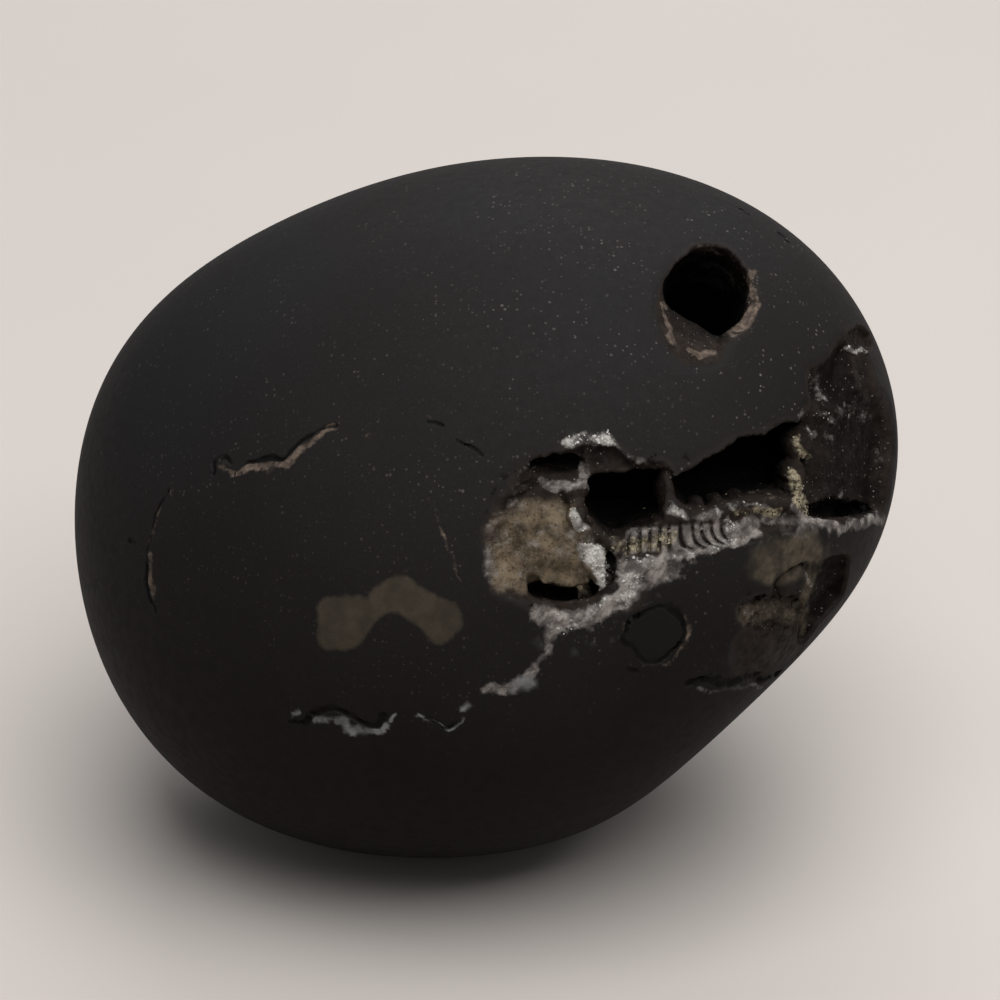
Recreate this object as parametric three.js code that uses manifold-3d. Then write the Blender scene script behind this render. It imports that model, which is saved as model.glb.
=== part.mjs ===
// A shaligram: a river-worn black pebble with a broken-open ammonite in its face.
// Millimetres, +Z up. The stone stands on a small flat spot at z = 0, under the middle of its bounding box.
// Its broken face looks towards -Y and a little upwards.
//
// Places on the face are given as u (to the right) and v (up the face), measured from the stone's middle
// in a plane that leans back with the face. Depths are measured inwards from the worn skin.

import * as THREE from 'three';
import { mergeVertices } from 'three/addons/utils/BufferGeometryUtils.js';
import Module from 'manifold-3d';

// Driving dimensions
const HALF_LENGTH = 42.2;
const HALF_DEPTH = 36;
const HALF_HEIGHT = 34.05;
const LENGTH_LEAN = THREE.MathUtils.degToRad(23.7);
const FACE_LEAN = THREE.MathUtils.degToRad(27);
const FLAT_SPOT_CUT = 1.2;
const BORE_RADIUS = 4.1;
const BORE_DEPTH = 15;
const SIDE_BORE_RADIUS = 2.9;
const SIDE_BORE_DEPTH = 9;
const RIB_COUNT = 9;
const RIB_PITCH = 1.25;
const RIB_HALF = { wide: 0.42, long: 1.5, high: 0.7 };
const DISC_RADIUS = 2.6;
const GROOVE_RADIUS = 0.32;

// How fine the faceted surfaces are
const BODY_DETAIL = 11;
const WIDE_HOLLOW = 5;
const WIDE_HOLLOW_DETAIL = 3;
const HOLLOW_DETAIL = 2;
const LUMP_DETAIL = 1;
const BORE_SIDES = 20;
const GROOVE_SIDES = 5;
const GROOVE_STEPS_PER_SPAN = 3;

const wasm = await Module();
wasm.setup();

// The face's own directions, seen from the front: right, up the face, and straight out of it
const RIGHT = new THREE.Vector3(1, 0, 0);
const UP = new THREE.Vector3(0, Math.sin(FACE_LEAN), Math.cos(FACE_LEAN));
const OUT = new THREE.Vector3(0, -Math.cos(FACE_LEAN), Math.sin(FACE_LEAN));
const LENGTH_AXIS = new THREE.Vector3(Math.cos(LENGTH_LEAN), 0, Math.sin(LENGTH_LEAN));
const HEIGHT_AXIS = new THREE.Vector3(-Math.sin(LENGTH_LEAN), 0, Math.cos(LENGTH_LEAN));

const onFace = (u, v, w) => new THREE.Vector3()
  .addScaledVector(RIGHT, u)
  .addScaledVector(UP, v)
  .addScaledVector(OUT, w);

// Where river wear has left the pebble fuller or flatter than a plain ellipsoid, by the direction round the face
const faceDirection = (degrees) => {
  const turn = THREE.MathUtils.degToRad(degrees);
  return onFace(Math.cos(turn), Math.sin(turn), 0);
};
const SWELLS = [
  { towards: faceDirection(155), amount: 0.07, spread: 9 },
  { towards: faceDirection(322), amount: -0.12, spread: 9 },
  { towards: faceDirection(262), amount: -0.02, spread: 9 },
  { towards: faceDirection(80), amount: -0.015, spread: 9 },
  { towards: faceDirection(197), amount: -0.012, spread: 9 },
  { towards: new THREE.Vector3(0.35, 0.35, -0.87).normalize(), amount: 0.03, spread: 6 },
];

function radiusAlong(direction) {
  const along = direction.dot(LENGTH_AXIS) / HALF_LENGTH;
  const upright = direction.dot(HEIGHT_AXIS) / HALF_HEIGHT;
  const through = direction.y / HALF_DEPTH;
  const swell = SWELLS.reduce((sum, s) => sum + s.amount * Math.exp(s.spread * (direction.dot(s.towards) - 1)), 1);
  return swell / Math.hypot(along, upright, through);
}

// How far a point lies outside the worn skin, as a share of the radius there
const outside = (point) => point.length() / radiusAlong(point.clone().normalize()) - 1;

// The point of the skin that is seen at (u, v) on the face
function skinPoint(u, v) {
  let inner = 0;
  let outer = HALF_LENGTH;
  for (let step = 0; step < 40; step += 1) {
    const middle = (inner + outer) / 2;
    if (outside(onFace(u, v, middle)) < 0) inner = middle;
    else outer = middle;
  }
  return onFace(u, v, inner);
}

// The skin's outward direction at a point of it
function skinNormal(point) {
  const reach = 0.05;
  const slope = (axis) => outside(point.clone().addScaledVector(axis, reach))
    - outside(point.clone().addScaledVector(axis, -reach));
  return new THREE.Vector3(
    slope(new THREE.Vector3(1, 0, 0)),
    slope(new THREE.Vector3(0, 1, 0)),
    slope(new THREE.Vector3(0, 0, 1)),
  ).normalize();
}

// Turns a shape so that its Z looks along "outward", its X stays to the right, and puts it at "origin"
function placed(shape, origin, outward, turnDegrees = 0) {
  const z = outward.clone().normalize();
  const x = RIGHT.clone().addScaledVector(z, -RIGHT.dot(z)).normalize();
  const y = z.clone().cross(x);
  shape.rotateZ(THREE.MathUtils.degToRad(turnDegrees));
  shape.applyMatrix4(new THREE.Matrix4().makeBasis(x, y, z).setPosition(origin));
  return shape;
}

// A closed three.js shape becomes a solid once its doubled corners are merged
function solidFrom(shape) {
  const bare = shape.clone();
  bare.deleteAttribute('normal');
  bare.deleteAttribute('uv');
  const merged = mergeVertices(bare, 1e-4);
  return new wasm.Manifold(new wasm.Mesh({
    numProp: 3,
    vertProperties: Float32Array.from(merged.attributes.position.array),
    triVerts: Uint32Array.from(merged.index.array),
  }));
}

function shapeFrom(solid) {
  const mesh = solid.getMesh();
  const shape = new THREE.BufferGeometry();
  shape.setAttribute('position', new THREE.BufferAttribute(Float32Array.from(mesh.vertProperties), 3));
  shape.setIndex(Array.from(mesh.triVerts));
  shape.computeVertexNormals();
  return shape;
}

// A round body pressed to three half sizes, with an uneven, broken-rock surface
function lumpShape(half, detail, unevenness, seed) {
  const shape = new THREE.IcosahedronGeometry(1, detail);
  const position = shape.attributes.position;
  const corner = new THREE.Vector3();
  for (let i = 0; i < position.count; i += 1) {
    corner.fromBufferAttribute(position, i);
    const ripple = Math.sin(4.1 * corner.x + 2.3 * corner.y + seed)
      + Math.sin(3.7 * corner.y - 2.9 * corner.z + 2 * seed)
      + Math.sin(5.3 * corner.z + 3.1 * corner.x - seed);
    corner.multiplyScalar(1 + unevenness * ripple / 3);
    position.setXYZ(i, corner.x * half[0], corner.y * half[1], corner.z * half[2]);
  }
  return shape;
}

// The worn pebble, before anything is broken out of it
function pebble() {
  const shape = new THREE.IcosahedronGeometry(1, BODY_DETAIL);
  const position = shape.attributes.position;
  const direction = new THREE.Vector3();
  for (let i = 0; i < position.count; i += 1) {
    direction.fromBufferAttribute(position, i).normalize();
    direction.multiplyScalar(radiusAlong(direction));
    position.setXYZ(i, direction.x, direction.y, direction.z);
  }
  return shape;
}

// Everything below the flat spot
function groundBelow(lowest) {
  const size = 4 * HALF_LENGTH;
  const block = new THREE.BoxGeometry(size, size, size);
  block.translate(0, 0, lowest + FLAT_SPOT_CUT - size / 2);
  return block;
}

// A round bore with a domed end and a bevelled mouth, running back along -Z from the origin
function boreShape(radius, depth, bevel) {
  const dome = 0.8 * radius;
  const outline = [
    [0, -depth],
    [0.55 * radius, 0.25 * dome - depth],
    [0.88 * radius, 0.6 * dome - depth],
    [radius, dome - depth],
    [radius, -bevel],
    [radius + bevel, 0],
    [radius + 3 * bevel, radius],
    [0, radius],
  ];
  const shape = new THREE.LatheGeometry(outline.map(([r, along]) => new THREE.Vector2(r, along)), BORE_SIDES);
  shape.rotateX(Math.PI / 2);
  return shape;
}

// The round mouth: a deep bore, and a smaller one that runs into it from below and to the left
function mouth() {
  const deep = placed(boreShape(BORE_RADIUS, BORE_DEPTH, 0.3), skinPoint(21.3, 21.1), onFace(0.15, 0.25, 0.956));
  const side = placed(
    boreShape(SIDE_BORE_RADIUS, SIDE_BORE_DEPTH, 0.2),
    skinPoint(19.0, 17.6),
    onFace(-0.15, -0.3, 0.94),
  );
  return [deep, side];
}

// Hollows broken into the face. "deep" is how far a hollow reaches below the skin, "half" its half width and
// half height on the skin, and a hollow with "level" runs back level with the ground instead of straight in.
const HOLLOWS = [
  { name: 'left chamber', u: 6.0, v: -2.0, half: [5.4, 7.2], deep: 2.2 },
  { name: 'pocket over the infill', u: 6.6, v: 3.4, half: [3.0, 1.7], deep: 5, level: true },
  { name: 'gap under the infill', u: 6.3, v: -7.7, half: [3.6, 1.5], deep: 4, level: true },
  { name: 'main hollow, left', u: 11.9, v: 0.4, half: [3.6, 3.4], deep: 11, level: true },
  { name: 'main hollow, right', u: 14.3, v: 0.6, half: [3.0, 3.1], deep: 11, level: true },
  { name: 'slot, left tip', u: 19.7, v: 1.7, half: [2.5, 1.6], deep: 6, level: true },
  { name: 'slot, middle', u: 23.2, v: 2.5, half: [3.6, 3.2], deep: 9, level: true },
  { name: 'slot, right', u: 27.4, v: 3.4, half: [3.6, 4.8], deep: 9, level: true },
  { name: 'rib terrace', u: 18.6, v: -2.3, half: [8.6, 2.6], deep: 0.9 },
  { name: 'scar', u: 34.0, v: 7.2, half: [8.4, 9.0], deep: 2.6 },
  { name: 'scoop above the scar', u: 33.9, v: 12.8, half: [4.2, 3.4], deep: 2.6 },
  { name: 'pocket below the scar', u: 35.6, v: 0.4, half: [5.2, 1.6], deep: 4 },
  { name: 'nick in the outline', u: 37.4, v: 17.0, half: [2.2, 1.5], deep: 1.2 },
  { name: 'rough recess', u: 29.4, v: -9.3, half: [5.4, 3.8], deep: 1.3 },
  { name: 'smooth scar by the recess', u: 33.0, v: -8.2, half: [3.4, 4.6], deep: 1.5 },
  { name: 'upper outline pit, left', u: 24.8, v: 28.0, half: [1.3, 0.8], deep: 0.6 },
  { name: 'upper outline pit, right', u: 28.6, v: 25.3, half: [1.1, 0.8], deep: 0.6 },
];
const LEVEL_WAY_OUT = onFace(0, -0.3, 0.95);

function hollowShape({ u, v, half, deep, level = false }) {
  const skin = skinPoint(u, v);
  const outward = level ? LEVEL_WAY_OUT : skinNormal(skin);
  const overshoot = level ? 2 : 0.35 * deep + 0.6;
  const reach = (deep + overshoot) / 2;
  const swollen = 1 / Math.sqrt(1 - ((reach - deep) / reach) ** 2);
  const detail = half[0] > WIDE_HOLLOW ? WIDE_HOLLOW_DETAIL : HOLLOW_DETAIL;
  const shape = lumpShape([half[0] * swollen, half[1] * swollen, reach], detail, 0.09, u + v);
  const middle = skin.clone().addScaledVector(outward.clone().normalize(), reach - deep);
  return placed(shape, middle, outward);
}

// What stands up inside the broken face: infill, crust and ledges
const LUMPS = [
  { name: 'infill, upper', u: 5.6, v: -0.6, below: 2.0, half: [3.8, 2.8, 1.0] },
  { name: 'infill, lower', u: 6.4, v: -4.0, below: 2.0, half: [4.2, 2.6, 1.3] },
  { name: 'white crust, top', u: 9.0, v: -1.8, below: 1.2, half: [1.3, 2.2, 1.2] },
  { name: 'white crust, middle', u: 10.2, v: -4.6, below: 1.2, half: [1.5, 1.7, 1.2] },
  { name: 'white crust, bottom', u: 10.6, v: -6.6, below: 1.2, half: [1.0, 1.3, 1.0] },
  { name: 'shell fragment', u: 8.0, v: 2.2, below: 1.8, half: [1.5, 1.2, 0.9] },
  { name: 'crust mound', u: 17.4, v: -0.6, below: 1.4, half: [1.7, 1.2, 1.2] },
  { name: 'bridge', u: 17.1, v: 1.8, below: 2.2, half: [0.6, 2.2, 1.2] },
  { name: 'slot crust, left', u: 22.0, v: -0.4, below: 1.5, half: [2.2, 0.9, 1.2] },
  { name: 'slot crust, right', u: 26.2, v: -0.1, below: 1.5, half: [2.4, 0.9, 1.2] },
  { name: 'upper ledge', u: 32.6, v: 6.4, below: 2.8, half: [2.0, 1.6, 1.6] },
  { name: 'lower ledge', u: 31.4, v: 1.6, below: 2.6, half: [1.8, 2.0, 1.6] },
  { name: 'fold in the scar', u: 34.6, v: 4.4, below: 2.6, half: [1.8, 3.2, 0.9] },
  { name: 'rough recess, lump', u: 28.2, v: -10.0, below: 1.3, half: [2.0, 1.6, 0.8] },
  { name: 'rough recess, tooth', u: 30.9, v: -7.0, below: 1.2, half: [1.3, 1.4, 0.9] },
];

function lumpOnSkin({ u, v, below, half }) {
  const skin = skinPoint(u, v);
  const outward = skinNormal(skin);
  const shape = lumpShape(half, LUMP_DETAIL, 0.12, u - v);
  return placed(shape, skin.clone().addScaledVector(outward, -below), outward);
}

// The ammonite's ribs along the lower lip, leaning over further towards the right
function ribs() {
  const first = { u: 13.2, v: -3.3, turn: 4 };
  const last = { u: first.u + (RIB_COUNT - 1) * RIB_PITCH, v: -1.9, turn: 42 };
  const shapes = [];
  for (let i = 0; i < RIB_COUNT; i += 1) {
    const share = i / (RIB_COUNT - 1);
    const u = THREE.MathUtils.lerp(first.u, last.u, share);
    const v = THREE.MathUtils.lerp(first.v, last.v, share);
    const turn = THREE.MathUtils.lerp(first.turn, last.turn, share);
    const skin = skinPoint(u, v);
    const outward = skinNormal(skin);
    const shape = lumpShape([RIB_HALF.wide, RIB_HALF.long, RIB_HALF.high], LUMP_DETAIL, 0, 0);
    shapes.push(placed(shape, skin.clone().addScaledVector(outward, -0.9), outward, turn));
  }
  return shapes;
}

// Open cracks, each a groove that follows the skin through its points (u, v)
const CRACKS = [
  { name: 'tan crack', points: [[-27, 3.2], [-24.5, 4.6], [-21.3, 3.8], [-17.7, 5.0], [-13.9, 7.4]] },
  { name: 'left crack', points: [[-31.4, 1.8], [-33.1, -3.1], [-32.8, -9.3]] },
  { name: 'lower crack', points: [[-18.2, -19.9], [-15.0, -19.4], [-10.2, -20.3], [-8.3, -19.4], [-3.1, -19.9]] },
  { name: 'crack under the recess', points: [[20.3, -16.7], [24.6, -16.0], [28.7, -16.6]] },
];

function grooveShape({ points }) {
  const route = new THREE.CatmullRomCurve3(points.map(([u, v]) => skinPoint(u, v)));
  const section = new THREE.Shape();
  for (let side = 0; side < GROOVE_SIDES; side += 1) {
    const turn = (2 * Math.PI * side) / GROOVE_SIDES;
    const corner = [GROOVE_RADIUS * Math.cos(turn), GROOVE_RADIUS * Math.sin(turn)];
    if (side === 0) section.moveTo(...corner);
    else section.lineTo(...corner);
  }
  section.closePath();
  const steps = GROOVE_STEPS_PER_SPAN * (points.length - 1);
  return new THREE.ExtrudeGeometry(section, { steps, extrudePath: route, bevelEnabled: false });
}

// The small many-sided disc under the lip, set off by a groove round it
function discGroove() {
  const sides = 9;
  const skin = skinPoint(15.8, -11.8);
  return placed(new THREE.TorusGeometry(DISC_RADIUS, GROOVE_RADIUS, GROOVE_SIDES, sides), skin, skinNormal(skin), 15);
}

function stoneShape() {
  const whole = pebble();
  whole.computeBoundingBox();
  const cut = (solid, shape) => solid.subtract(solidFrom(shape));
  const join = (solid, shape) => solid.add(solidFrom(shape));
  let stone = cut(solidFrom(whole), groundBelow(whole.boundingBox.min.z));
  stone = HOLLOWS.map(hollowShape).reduce(cut, stone);
  const grown = [...LUMPS.map(lumpOnSkin), ...ribs()].map(solidFrom).reduce((sum, lump) => sum.add(lump));
  stone = stone.add(grown.intersect(solidFrom(whole)));
  stone = [...mouth(), ...CRACKS.map(grooveShape), discGroove()].reduce(cut, stone);
  return shapeFrom(stone);
}

const stone = new THREE.Mesh(
  stoneShape(),
  new THREE.MeshStandardMaterial({ color: 0x262424, roughness: 0.5, metalness: 0 }),
);
stone.name = 'shaligram_stone';

// Stand the stone on its flat spot, with the middle of its bounding box over the origin
stone.geometry.computeBoundingBox();
const { min, max } = stone.geometry.boundingBox;
stone.position.set(-(min.x + max.x) / 2, -(min.y + max.y) / 2, -min.z);

const shaligram = new THREE.Group();
shaligram.add(stone);

export default shaligram;
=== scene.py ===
"""A shaligram: a river-worn black pebble with an ammonite broken open in its face.

The stone is made as a field, a number for every point that is negative inside the stone and about the
distance to its surface in millimetres. The worn pebble comes first, then hollows are broken into it and
lumps grow back inside them. A mesh is laid over the surface and made finer where there is more to show.

Places on the face are (u, v): millimetres to the right and up the face, from the stone's middle.
"""

import itertools
import math

import bpy
import numpy as np
from bpy.props import FloatProperty, FloatVectorProperty, IntProperty, PointerProperty
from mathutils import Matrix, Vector


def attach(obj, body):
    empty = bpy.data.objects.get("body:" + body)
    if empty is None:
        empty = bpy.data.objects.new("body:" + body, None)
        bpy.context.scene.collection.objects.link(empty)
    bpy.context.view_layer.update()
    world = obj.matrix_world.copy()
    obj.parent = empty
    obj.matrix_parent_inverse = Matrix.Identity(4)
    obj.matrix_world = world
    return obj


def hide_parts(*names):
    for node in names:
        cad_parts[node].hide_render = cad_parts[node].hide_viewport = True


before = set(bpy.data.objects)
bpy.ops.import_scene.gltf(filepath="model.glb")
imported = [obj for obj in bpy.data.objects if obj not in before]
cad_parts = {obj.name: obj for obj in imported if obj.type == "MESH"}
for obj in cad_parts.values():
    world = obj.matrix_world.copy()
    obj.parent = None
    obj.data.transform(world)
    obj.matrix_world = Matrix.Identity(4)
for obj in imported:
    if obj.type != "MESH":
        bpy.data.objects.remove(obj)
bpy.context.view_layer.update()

bl_info = {
    "name": "Shaligram ammonite",
    "version": (1, 0, 0),
    "blender": (4, 5, 0),
    "location": "3D View > Sidebar > Shaligram",
    "description": "Makes a river-worn black stone with an ammonite broken open in its face",
    "category": "Add Mesh",
}

NODE = "shaligram_stone"
MM = 0.001

# Driving sizes of the worn pebble, in millimetres and degrees
HALF_LENGTH = 42.2
HALF_DEPTH = 36.0
HALF_HEIGHT = 34.05
LENGTH_LEAN = math.radians(23.7)
FACE_LEAN = math.radians(27.0)
FLAT_SPOT_CUT = 1.2

# The face's own directions, seen from the front: right, up the face, and straight out of it
RIGHT = np.array([1.0, 0.0, 0.0])
UP = np.array([0.0, math.sin(FACE_LEAN), math.cos(FACE_LEAN)])
OUT = np.array([0.0, -math.cos(FACE_LEAN), math.sin(FACE_LEAN)])
LENGTH_AXIS = np.array([math.cos(LENGTH_LEAN), 0.0, math.sin(LENGTH_LEAN)])
HEIGHT_AXIS = np.array([-math.sin(LENGTH_LEAN), 0.0, math.cos(LENGTH_LEAN)])


def unit(vector):
    vector = np.asarray(vector, float)
    return vector / np.linalg.norm(vector)


def on_face(u, v, w=0.0):
    return u * RIGHT + v * UP + w * OUT


def round_the_face(degrees):
    turn = math.radians(degrees)
    return on_face(math.cos(turn), math.sin(turn))


# The worn pebble

# Where river wear has left the pebble fuller or flatter than a plain ellipsoid: direction, amount, tightness
SWELLS = [
    (round_the_face(155), 0.07, 9.0),
    (round_the_face(322), -0.12, 9.0),
    (round_the_face(262), -0.02, 9.0),
    (round_the_face(80), -0.015, 9.0),
    (round_the_face(197), -0.012, 9.0),
    (unit([0.35, 0.35, -0.87]), 0.03, 6.0),
]
SKIN_HALVINGS = 36


def radius_along(directions):
    """The worn pebble's radius along unit directions from its middle."""
    length = directions @ LENGTH_AXIS / HALF_LENGTH
    height = directions @ HEIGHT_AXIS / HALF_HEIGHT
    depth = directions[:, 1] / HALF_DEPTH
    swell = 1.0
    for towards, amount, tightness in SWELLS:
        swell = swell + amount * np.exp(tightness * (directions @ towards - 1.0))
    return swell / np.sqrt(length**2 + height**2 + depth**2)


def above_skin(points):
    """How far points lie outside the worn skin; negative below it."""
    reach = np.maximum(np.linalg.norm(points, axis=1), 1e-6)
    return reach - radius_along(points / reach[:, None])


def skin_points(places, side=1):
    """The points of the skin that are seen at places (u, v) on the face, or behind them where side is -1."""
    places = np.atleast_2d(np.asarray(places, float))
    flat = places[:, :1] * RIGHT + places[:, 1:] * UP
    inner = np.zeros(len(places))
    outer = np.full(len(places), HALF_LENGTH)
    for _ in range(SKIN_HALVINGS):
        middle = (inner + outer) / 2
        inside = above_skin(flat + side * middle[:, None] * OUT) < 0
        inner = np.where(inside, middle, inner)
        outer = np.where(inside, outer, middle)
    return flat + side * inner[:, None] * OUT


def skin_normal(point, reach=0.05):
    steps = np.concatenate([np.eye(3), -np.eye(3)]) * reach
    value = above_skin(point + steps)
    return unit(value[:3] - value[3:])


def worn_box():
    """The lowest and highest corners of the worn pebble, about its middle, before its flat spot."""
    turn = np.linspace(0, 2 * math.pi, 721)
    lift = np.linspace(-math.pi / 2, math.pi / 2, 361)
    turn, lift = (a.ravel() for a in np.meshgrid(turn, lift))
    ways = np.stack([np.cos(lift) * np.cos(turn), np.cos(lift) * np.sin(turn), np.sin(lift)], axis=1)
    skin = ways * radius_along(ways)[:, None]
    return skin.min(0), skin.max(0)


def ground_level():
    """The height of the flat spot, measured from the stone's middle."""
    turn = np.linspace(0, 2 * math.pi, 721)
    down = np.linspace(0.6, 1.0, 401)
    spread = np.sqrt(1 - down**2)
    rightward = np.outer(spread, np.cos(turn))
    backward = np.outer(spread, np.sin(turn))
    upward = -np.outer(down, np.ones_like(turn))
    ways = np.stack([rightward, backward, upward], axis=-1).reshape(-1, 3)
    return (ways[:, 2] * radius_along(ways)).min() + FLAT_SPOT_CUT


LOW, HIGH = worn_box()
GROUND = ground_level()
ORIGIN = np.array([(LOW[0] + HIGH[0]) / 2, (LOW[1] + HIGH[1]) / 2, GROUND])


def to_frame(points):
    """From millimetres about the stone's middle to metres in the CAD frame."""
    return (points - ORIGIN) * MM


# Noise and smooth joins

NOISE_SIZE = 64
NOISE_SEED = 11
NOISE_SHIFT = 17.3
NOISE_TABLE = np.random.default_rng(NOISE_SEED).uniform(-1.0, 1.0, (NOISE_SIZE,) * 3)

# The size in millimetres of the large lumps, the sharp steps and the fine lumps of broken rock
LARGE_LUMPS = 2.4
SHARP_STEPS = 1.3
FINE_LUMPS = 0.5
BEDDING_STRETCH = 2.5


def noise(points, size, shift=0):
    """Smooth noise from -1 to 1, its lumps about size millimetres across. Each shift gives another noise."""
    scaled = points / size + NOISE_SHIFT * shift
    cell = np.floor(scaled).astype(int)
    part = scaled - cell
    part = part * part * (3 - 2 * part)
    total = np.zeros(len(points))
    for corner in itertools.product((0, 1), repeat=3):
        share = np.prod(np.where(corner, part, 1 - part), axis=1)
        i, j, k = ((cell + corner) % NOISE_SIZE).T
        total += share * NOISE_TABLE[i, j, k]
    return total


def along_bedding(points):
    """The points drawn together along the way into the stone, which draws noise over them out that way."""
    return points - (1 - 1 / BEDDING_STRETCH) * np.outer(points @ OUT, OUT)


def rock(points, coarse=1.0):
    """How far broken rock stands out, from -1 to 1: its lumps are coarse times their usual size."""
    steps = 1 - 2 * np.abs(noise(points, SHARP_STEPS * coarse, shift=1))
    large = noise(points, LARGE_LUMPS * coarse)
    fine = noise(points, FINE_LUMPS * coarse, shift=2)
    return 0.5 * large + 0.3 * steps + 0.2 * fine


def smooth_max(a, b, width):
    overlap = np.maximum(width - np.abs(a - b), 0.0) / width
    return np.maximum(a, b) + overlap * overlap * width / 4


def smooth_min(a, b, width):
    return -smooth_max(-a, -b, width)


def ramp(value, low, high):
    """0 below low, 1 above high, and a smooth rise between them."""
    share = np.clip((value - low) / (high - low), 0.0, 1.0)
    return share * share * (3 - 2 * share)


# Outlines and lines on the face


def smooth_line(points, closed, steps=4):
    """A Catmull-Rom curve through the points."""
    points = np.asarray(points, float)
    if closed:
        around = np.concatenate([points[-1:], points, points[:2]])
    else:
        around = np.concatenate([points[:1], points, points[-1:]])
    share = np.arange(steps)[:, None] / steps
    stretches = []
    for a, b, c, d in zip(around, around[1:], around[2:], around[3:]):
        start = 2 * b + (c - a) * share
        bend = (2 * a - 5 * b + 4 * c - d) * share**2
        turn = (3 * b - a - 3 * c + d) * share**3
        stretches.append(0.5 * (start + bend + turn))
    line = np.concatenate(stretches)
    return line if closed else np.concatenate([line, points[-1:]])


def line_distance(points, line):
    """The distance from each point to a line of straight stretches, in two or three dimensions."""
    nearest = np.full(len(points), 1e9)
    for start, end in zip(line, line[1:]):
        along = end - start
        share = np.clip((points - start) @ along / max(along @ along, 1e-9), 0.0, 1.0)
        away = points - start - share[:, None] * along
        nearest = np.minimum(nearest, np.einsum("ij,ij->i", away, away))
    return np.sqrt(nearest)


def outline_distance(points, outline):
    """The distance from flat points to a closed outline, negative inside it."""
    closed = np.concatenate([outline, outline[:1]])
    crossings = np.zeros(len(points), int)
    for (x0, y0), (x1, y1) in zip(closed, closed[1:]):
        if y0 == y1:
            continue
        beside = (points[:, 1] >= min(y0, y1)) & (points[:, 1] < max(y0, y1))
        crossings += beside & (points[:, 0] < x0 + (points[:, 1] - y0) / (y1 - y0) * (x1 - x0))
    distance = line_distance(points, closed)
    return np.where(crossings % 2 == 1, -distance, distance)


# What is broken out of the pebble, and what stands in the breaks

# No hollow reaches further in than this from the plane through the stone's middle
INNER_END = 4.0

# How far beyond a hollow, a lump or a groove the field may still feel it, in millimetres
HOLLOW_MARGIN = 1.5
HOLLOW_MARGIN_OUT = 2.5
LUMP_MARGIN = 1.5
GROOVE_MARGIN = 1.0

# The size in millimetres of the changes along a groove in its path, its width and its depth
PATH_CHANGE = 0.9
WIDTH_CHANGE = 1.7
DEPTH_CHANGE = 0.8


class Hollow:
    """A hollow broken in from an outline on the face.

    way_out is the direction, in (right, up, out) of the face, along which its walls run. depth is how far
    it reaches below the skin, bowl how wide its floor turns into its walls, coarse how large the lumps of
    broken rock are, rough how far they stand out, and rim how worn the edge is. The lumps of a bedded
    hollow are drawn out into the stone.
    """

    def __init__(
        self, outline, depth, way_out=(0, 0, 1), bowl=1.0, coarse=1.0, rough=0.3, rim=0.25, bedded=False
    ):
        self.axis = unit(on_face(*way_out))
        self.across = unit(RIGHT - (RIGHT @ self.axis) * self.axis)
        self.upward = np.cross(self.axis, self.across)
        self.outline = self.flat(skin_points(smooth_line(outline, closed=True)))
        self.depth = depth
        self.bowl = bowl
        self.coarse = coarse
        self.rough = rough
        self.rim = rim
        self.bedded = bedded
        self.low = self.outline.min(0) - HOLLOW_MARGIN - rough
        self.high = self.outline.max(0) + HOLLOW_MARGIN + rough

    def flat(self, points):
        return np.stack([points @ self.across, points @ self.upward], axis=1)

    def near(self, points, skin):
        place = self.flat(points)
        inside = np.all((place > self.low) & (place < self.high), axis=1)
        shallow = (skin > -self.depth - HOLLOW_MARGIN_OUT) & (skin < HOLLOW_MARGIN_OUT)
        return inside & shallow & (points @ self.axis > 0)

    def distance(self, points, skin):
        wall = outline_distance(self.flat(points), self.outline)
        lumpy = rock(along_bedding(points) if self.bedded else points, self.coarse)
        floor = smooth_max(-skin - self.depth, INNER_END - points @ self.axis, self.bowl)
        return smooth_max(wall, floor, self.bowl) + self.rough * lumpy


class Lump:
    """A rounded lump that sits at (u, v), its middle "below" the skin, with three half sizes."""

    def __init__(self, u, v, below, half, turn=0.0, rough=0.25, join=0.4):
        skin = skin_points([(u, v)])[0]
        out = skin_normal(skin)
        across = unit(RIGHT - (RIGHT @ out) * out)
        upward = np.cross(out, across)
        turn = math.radians(turn)
        turned_across = math.cos(turn) * across + math.sin(turn) * upward
        turned_upward = math.cos(turn) * upward - math.sin(turn) * across
        self.axes = np.stack([turned_across, turned_upward, out], axis=1)
        self.middle = skin - below * out
        self.half = np.asarray(half, float)
        self.rough = rough
        self.join = join

    def near(self, points):
        return np.linalg.norm(points - self.middle, axis=1) < self.half.max() + LUMP_MARGIN

    def distance(self, points):
        local = (points - self.middle) @ self.axes
        size = np.maximum(np.linalg.norm(local / self.half, axis=1), 1e-6)
        steepness = np.maximum(np.linalg.norm(local / self.half**2, axis=1), 1e-6)
        return size * (size - 1.0) / steepness + self.rough * rock(points)


class Groove:
    """A crack, scratch or seam that follows the skin through its points (u, v)."""

    def __init__(self, places, width, depth, closed=False, ragged=0.2, steps=5, side=1, shadow=True):
        line = skin_points(smooth_line(places, closed, steps), side)
        self.line = np.concatenate([line, line[:1]]) if closed else line
        self.width = width
        self.depth = depth
        self.ragged = ragged
        self.shadow = shadow
        self.low = self.line.min(0) - 3 * width - GROOVE_MARGIN
        self.high = self.line.max(0) + 3 * width + GROOVE_MARGIN

    def near(self, points):
        return np.all((points > self.low) & (points < self.high), axis=1)

    def away(self, points):
        shake = np.stack([noise(points, PATH_CHANGE, shift=3 + i) for i in range(3)], axis=1)
        return line_distance(points + self.ragged * shake, self.line)

    def relief(self, points):
        width = self.width * (0.75 + 0.45 * noise(points, WIDTH_CHANGE, shift=9))
        share = np.clip(1 - self.away(points) / width, 0.0, 1.0)
        return self.depth * share * (0.7 + 0.3 * noise(points, DEPTH_CHANGE, shift=10))


# The broken face, from left to right

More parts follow.
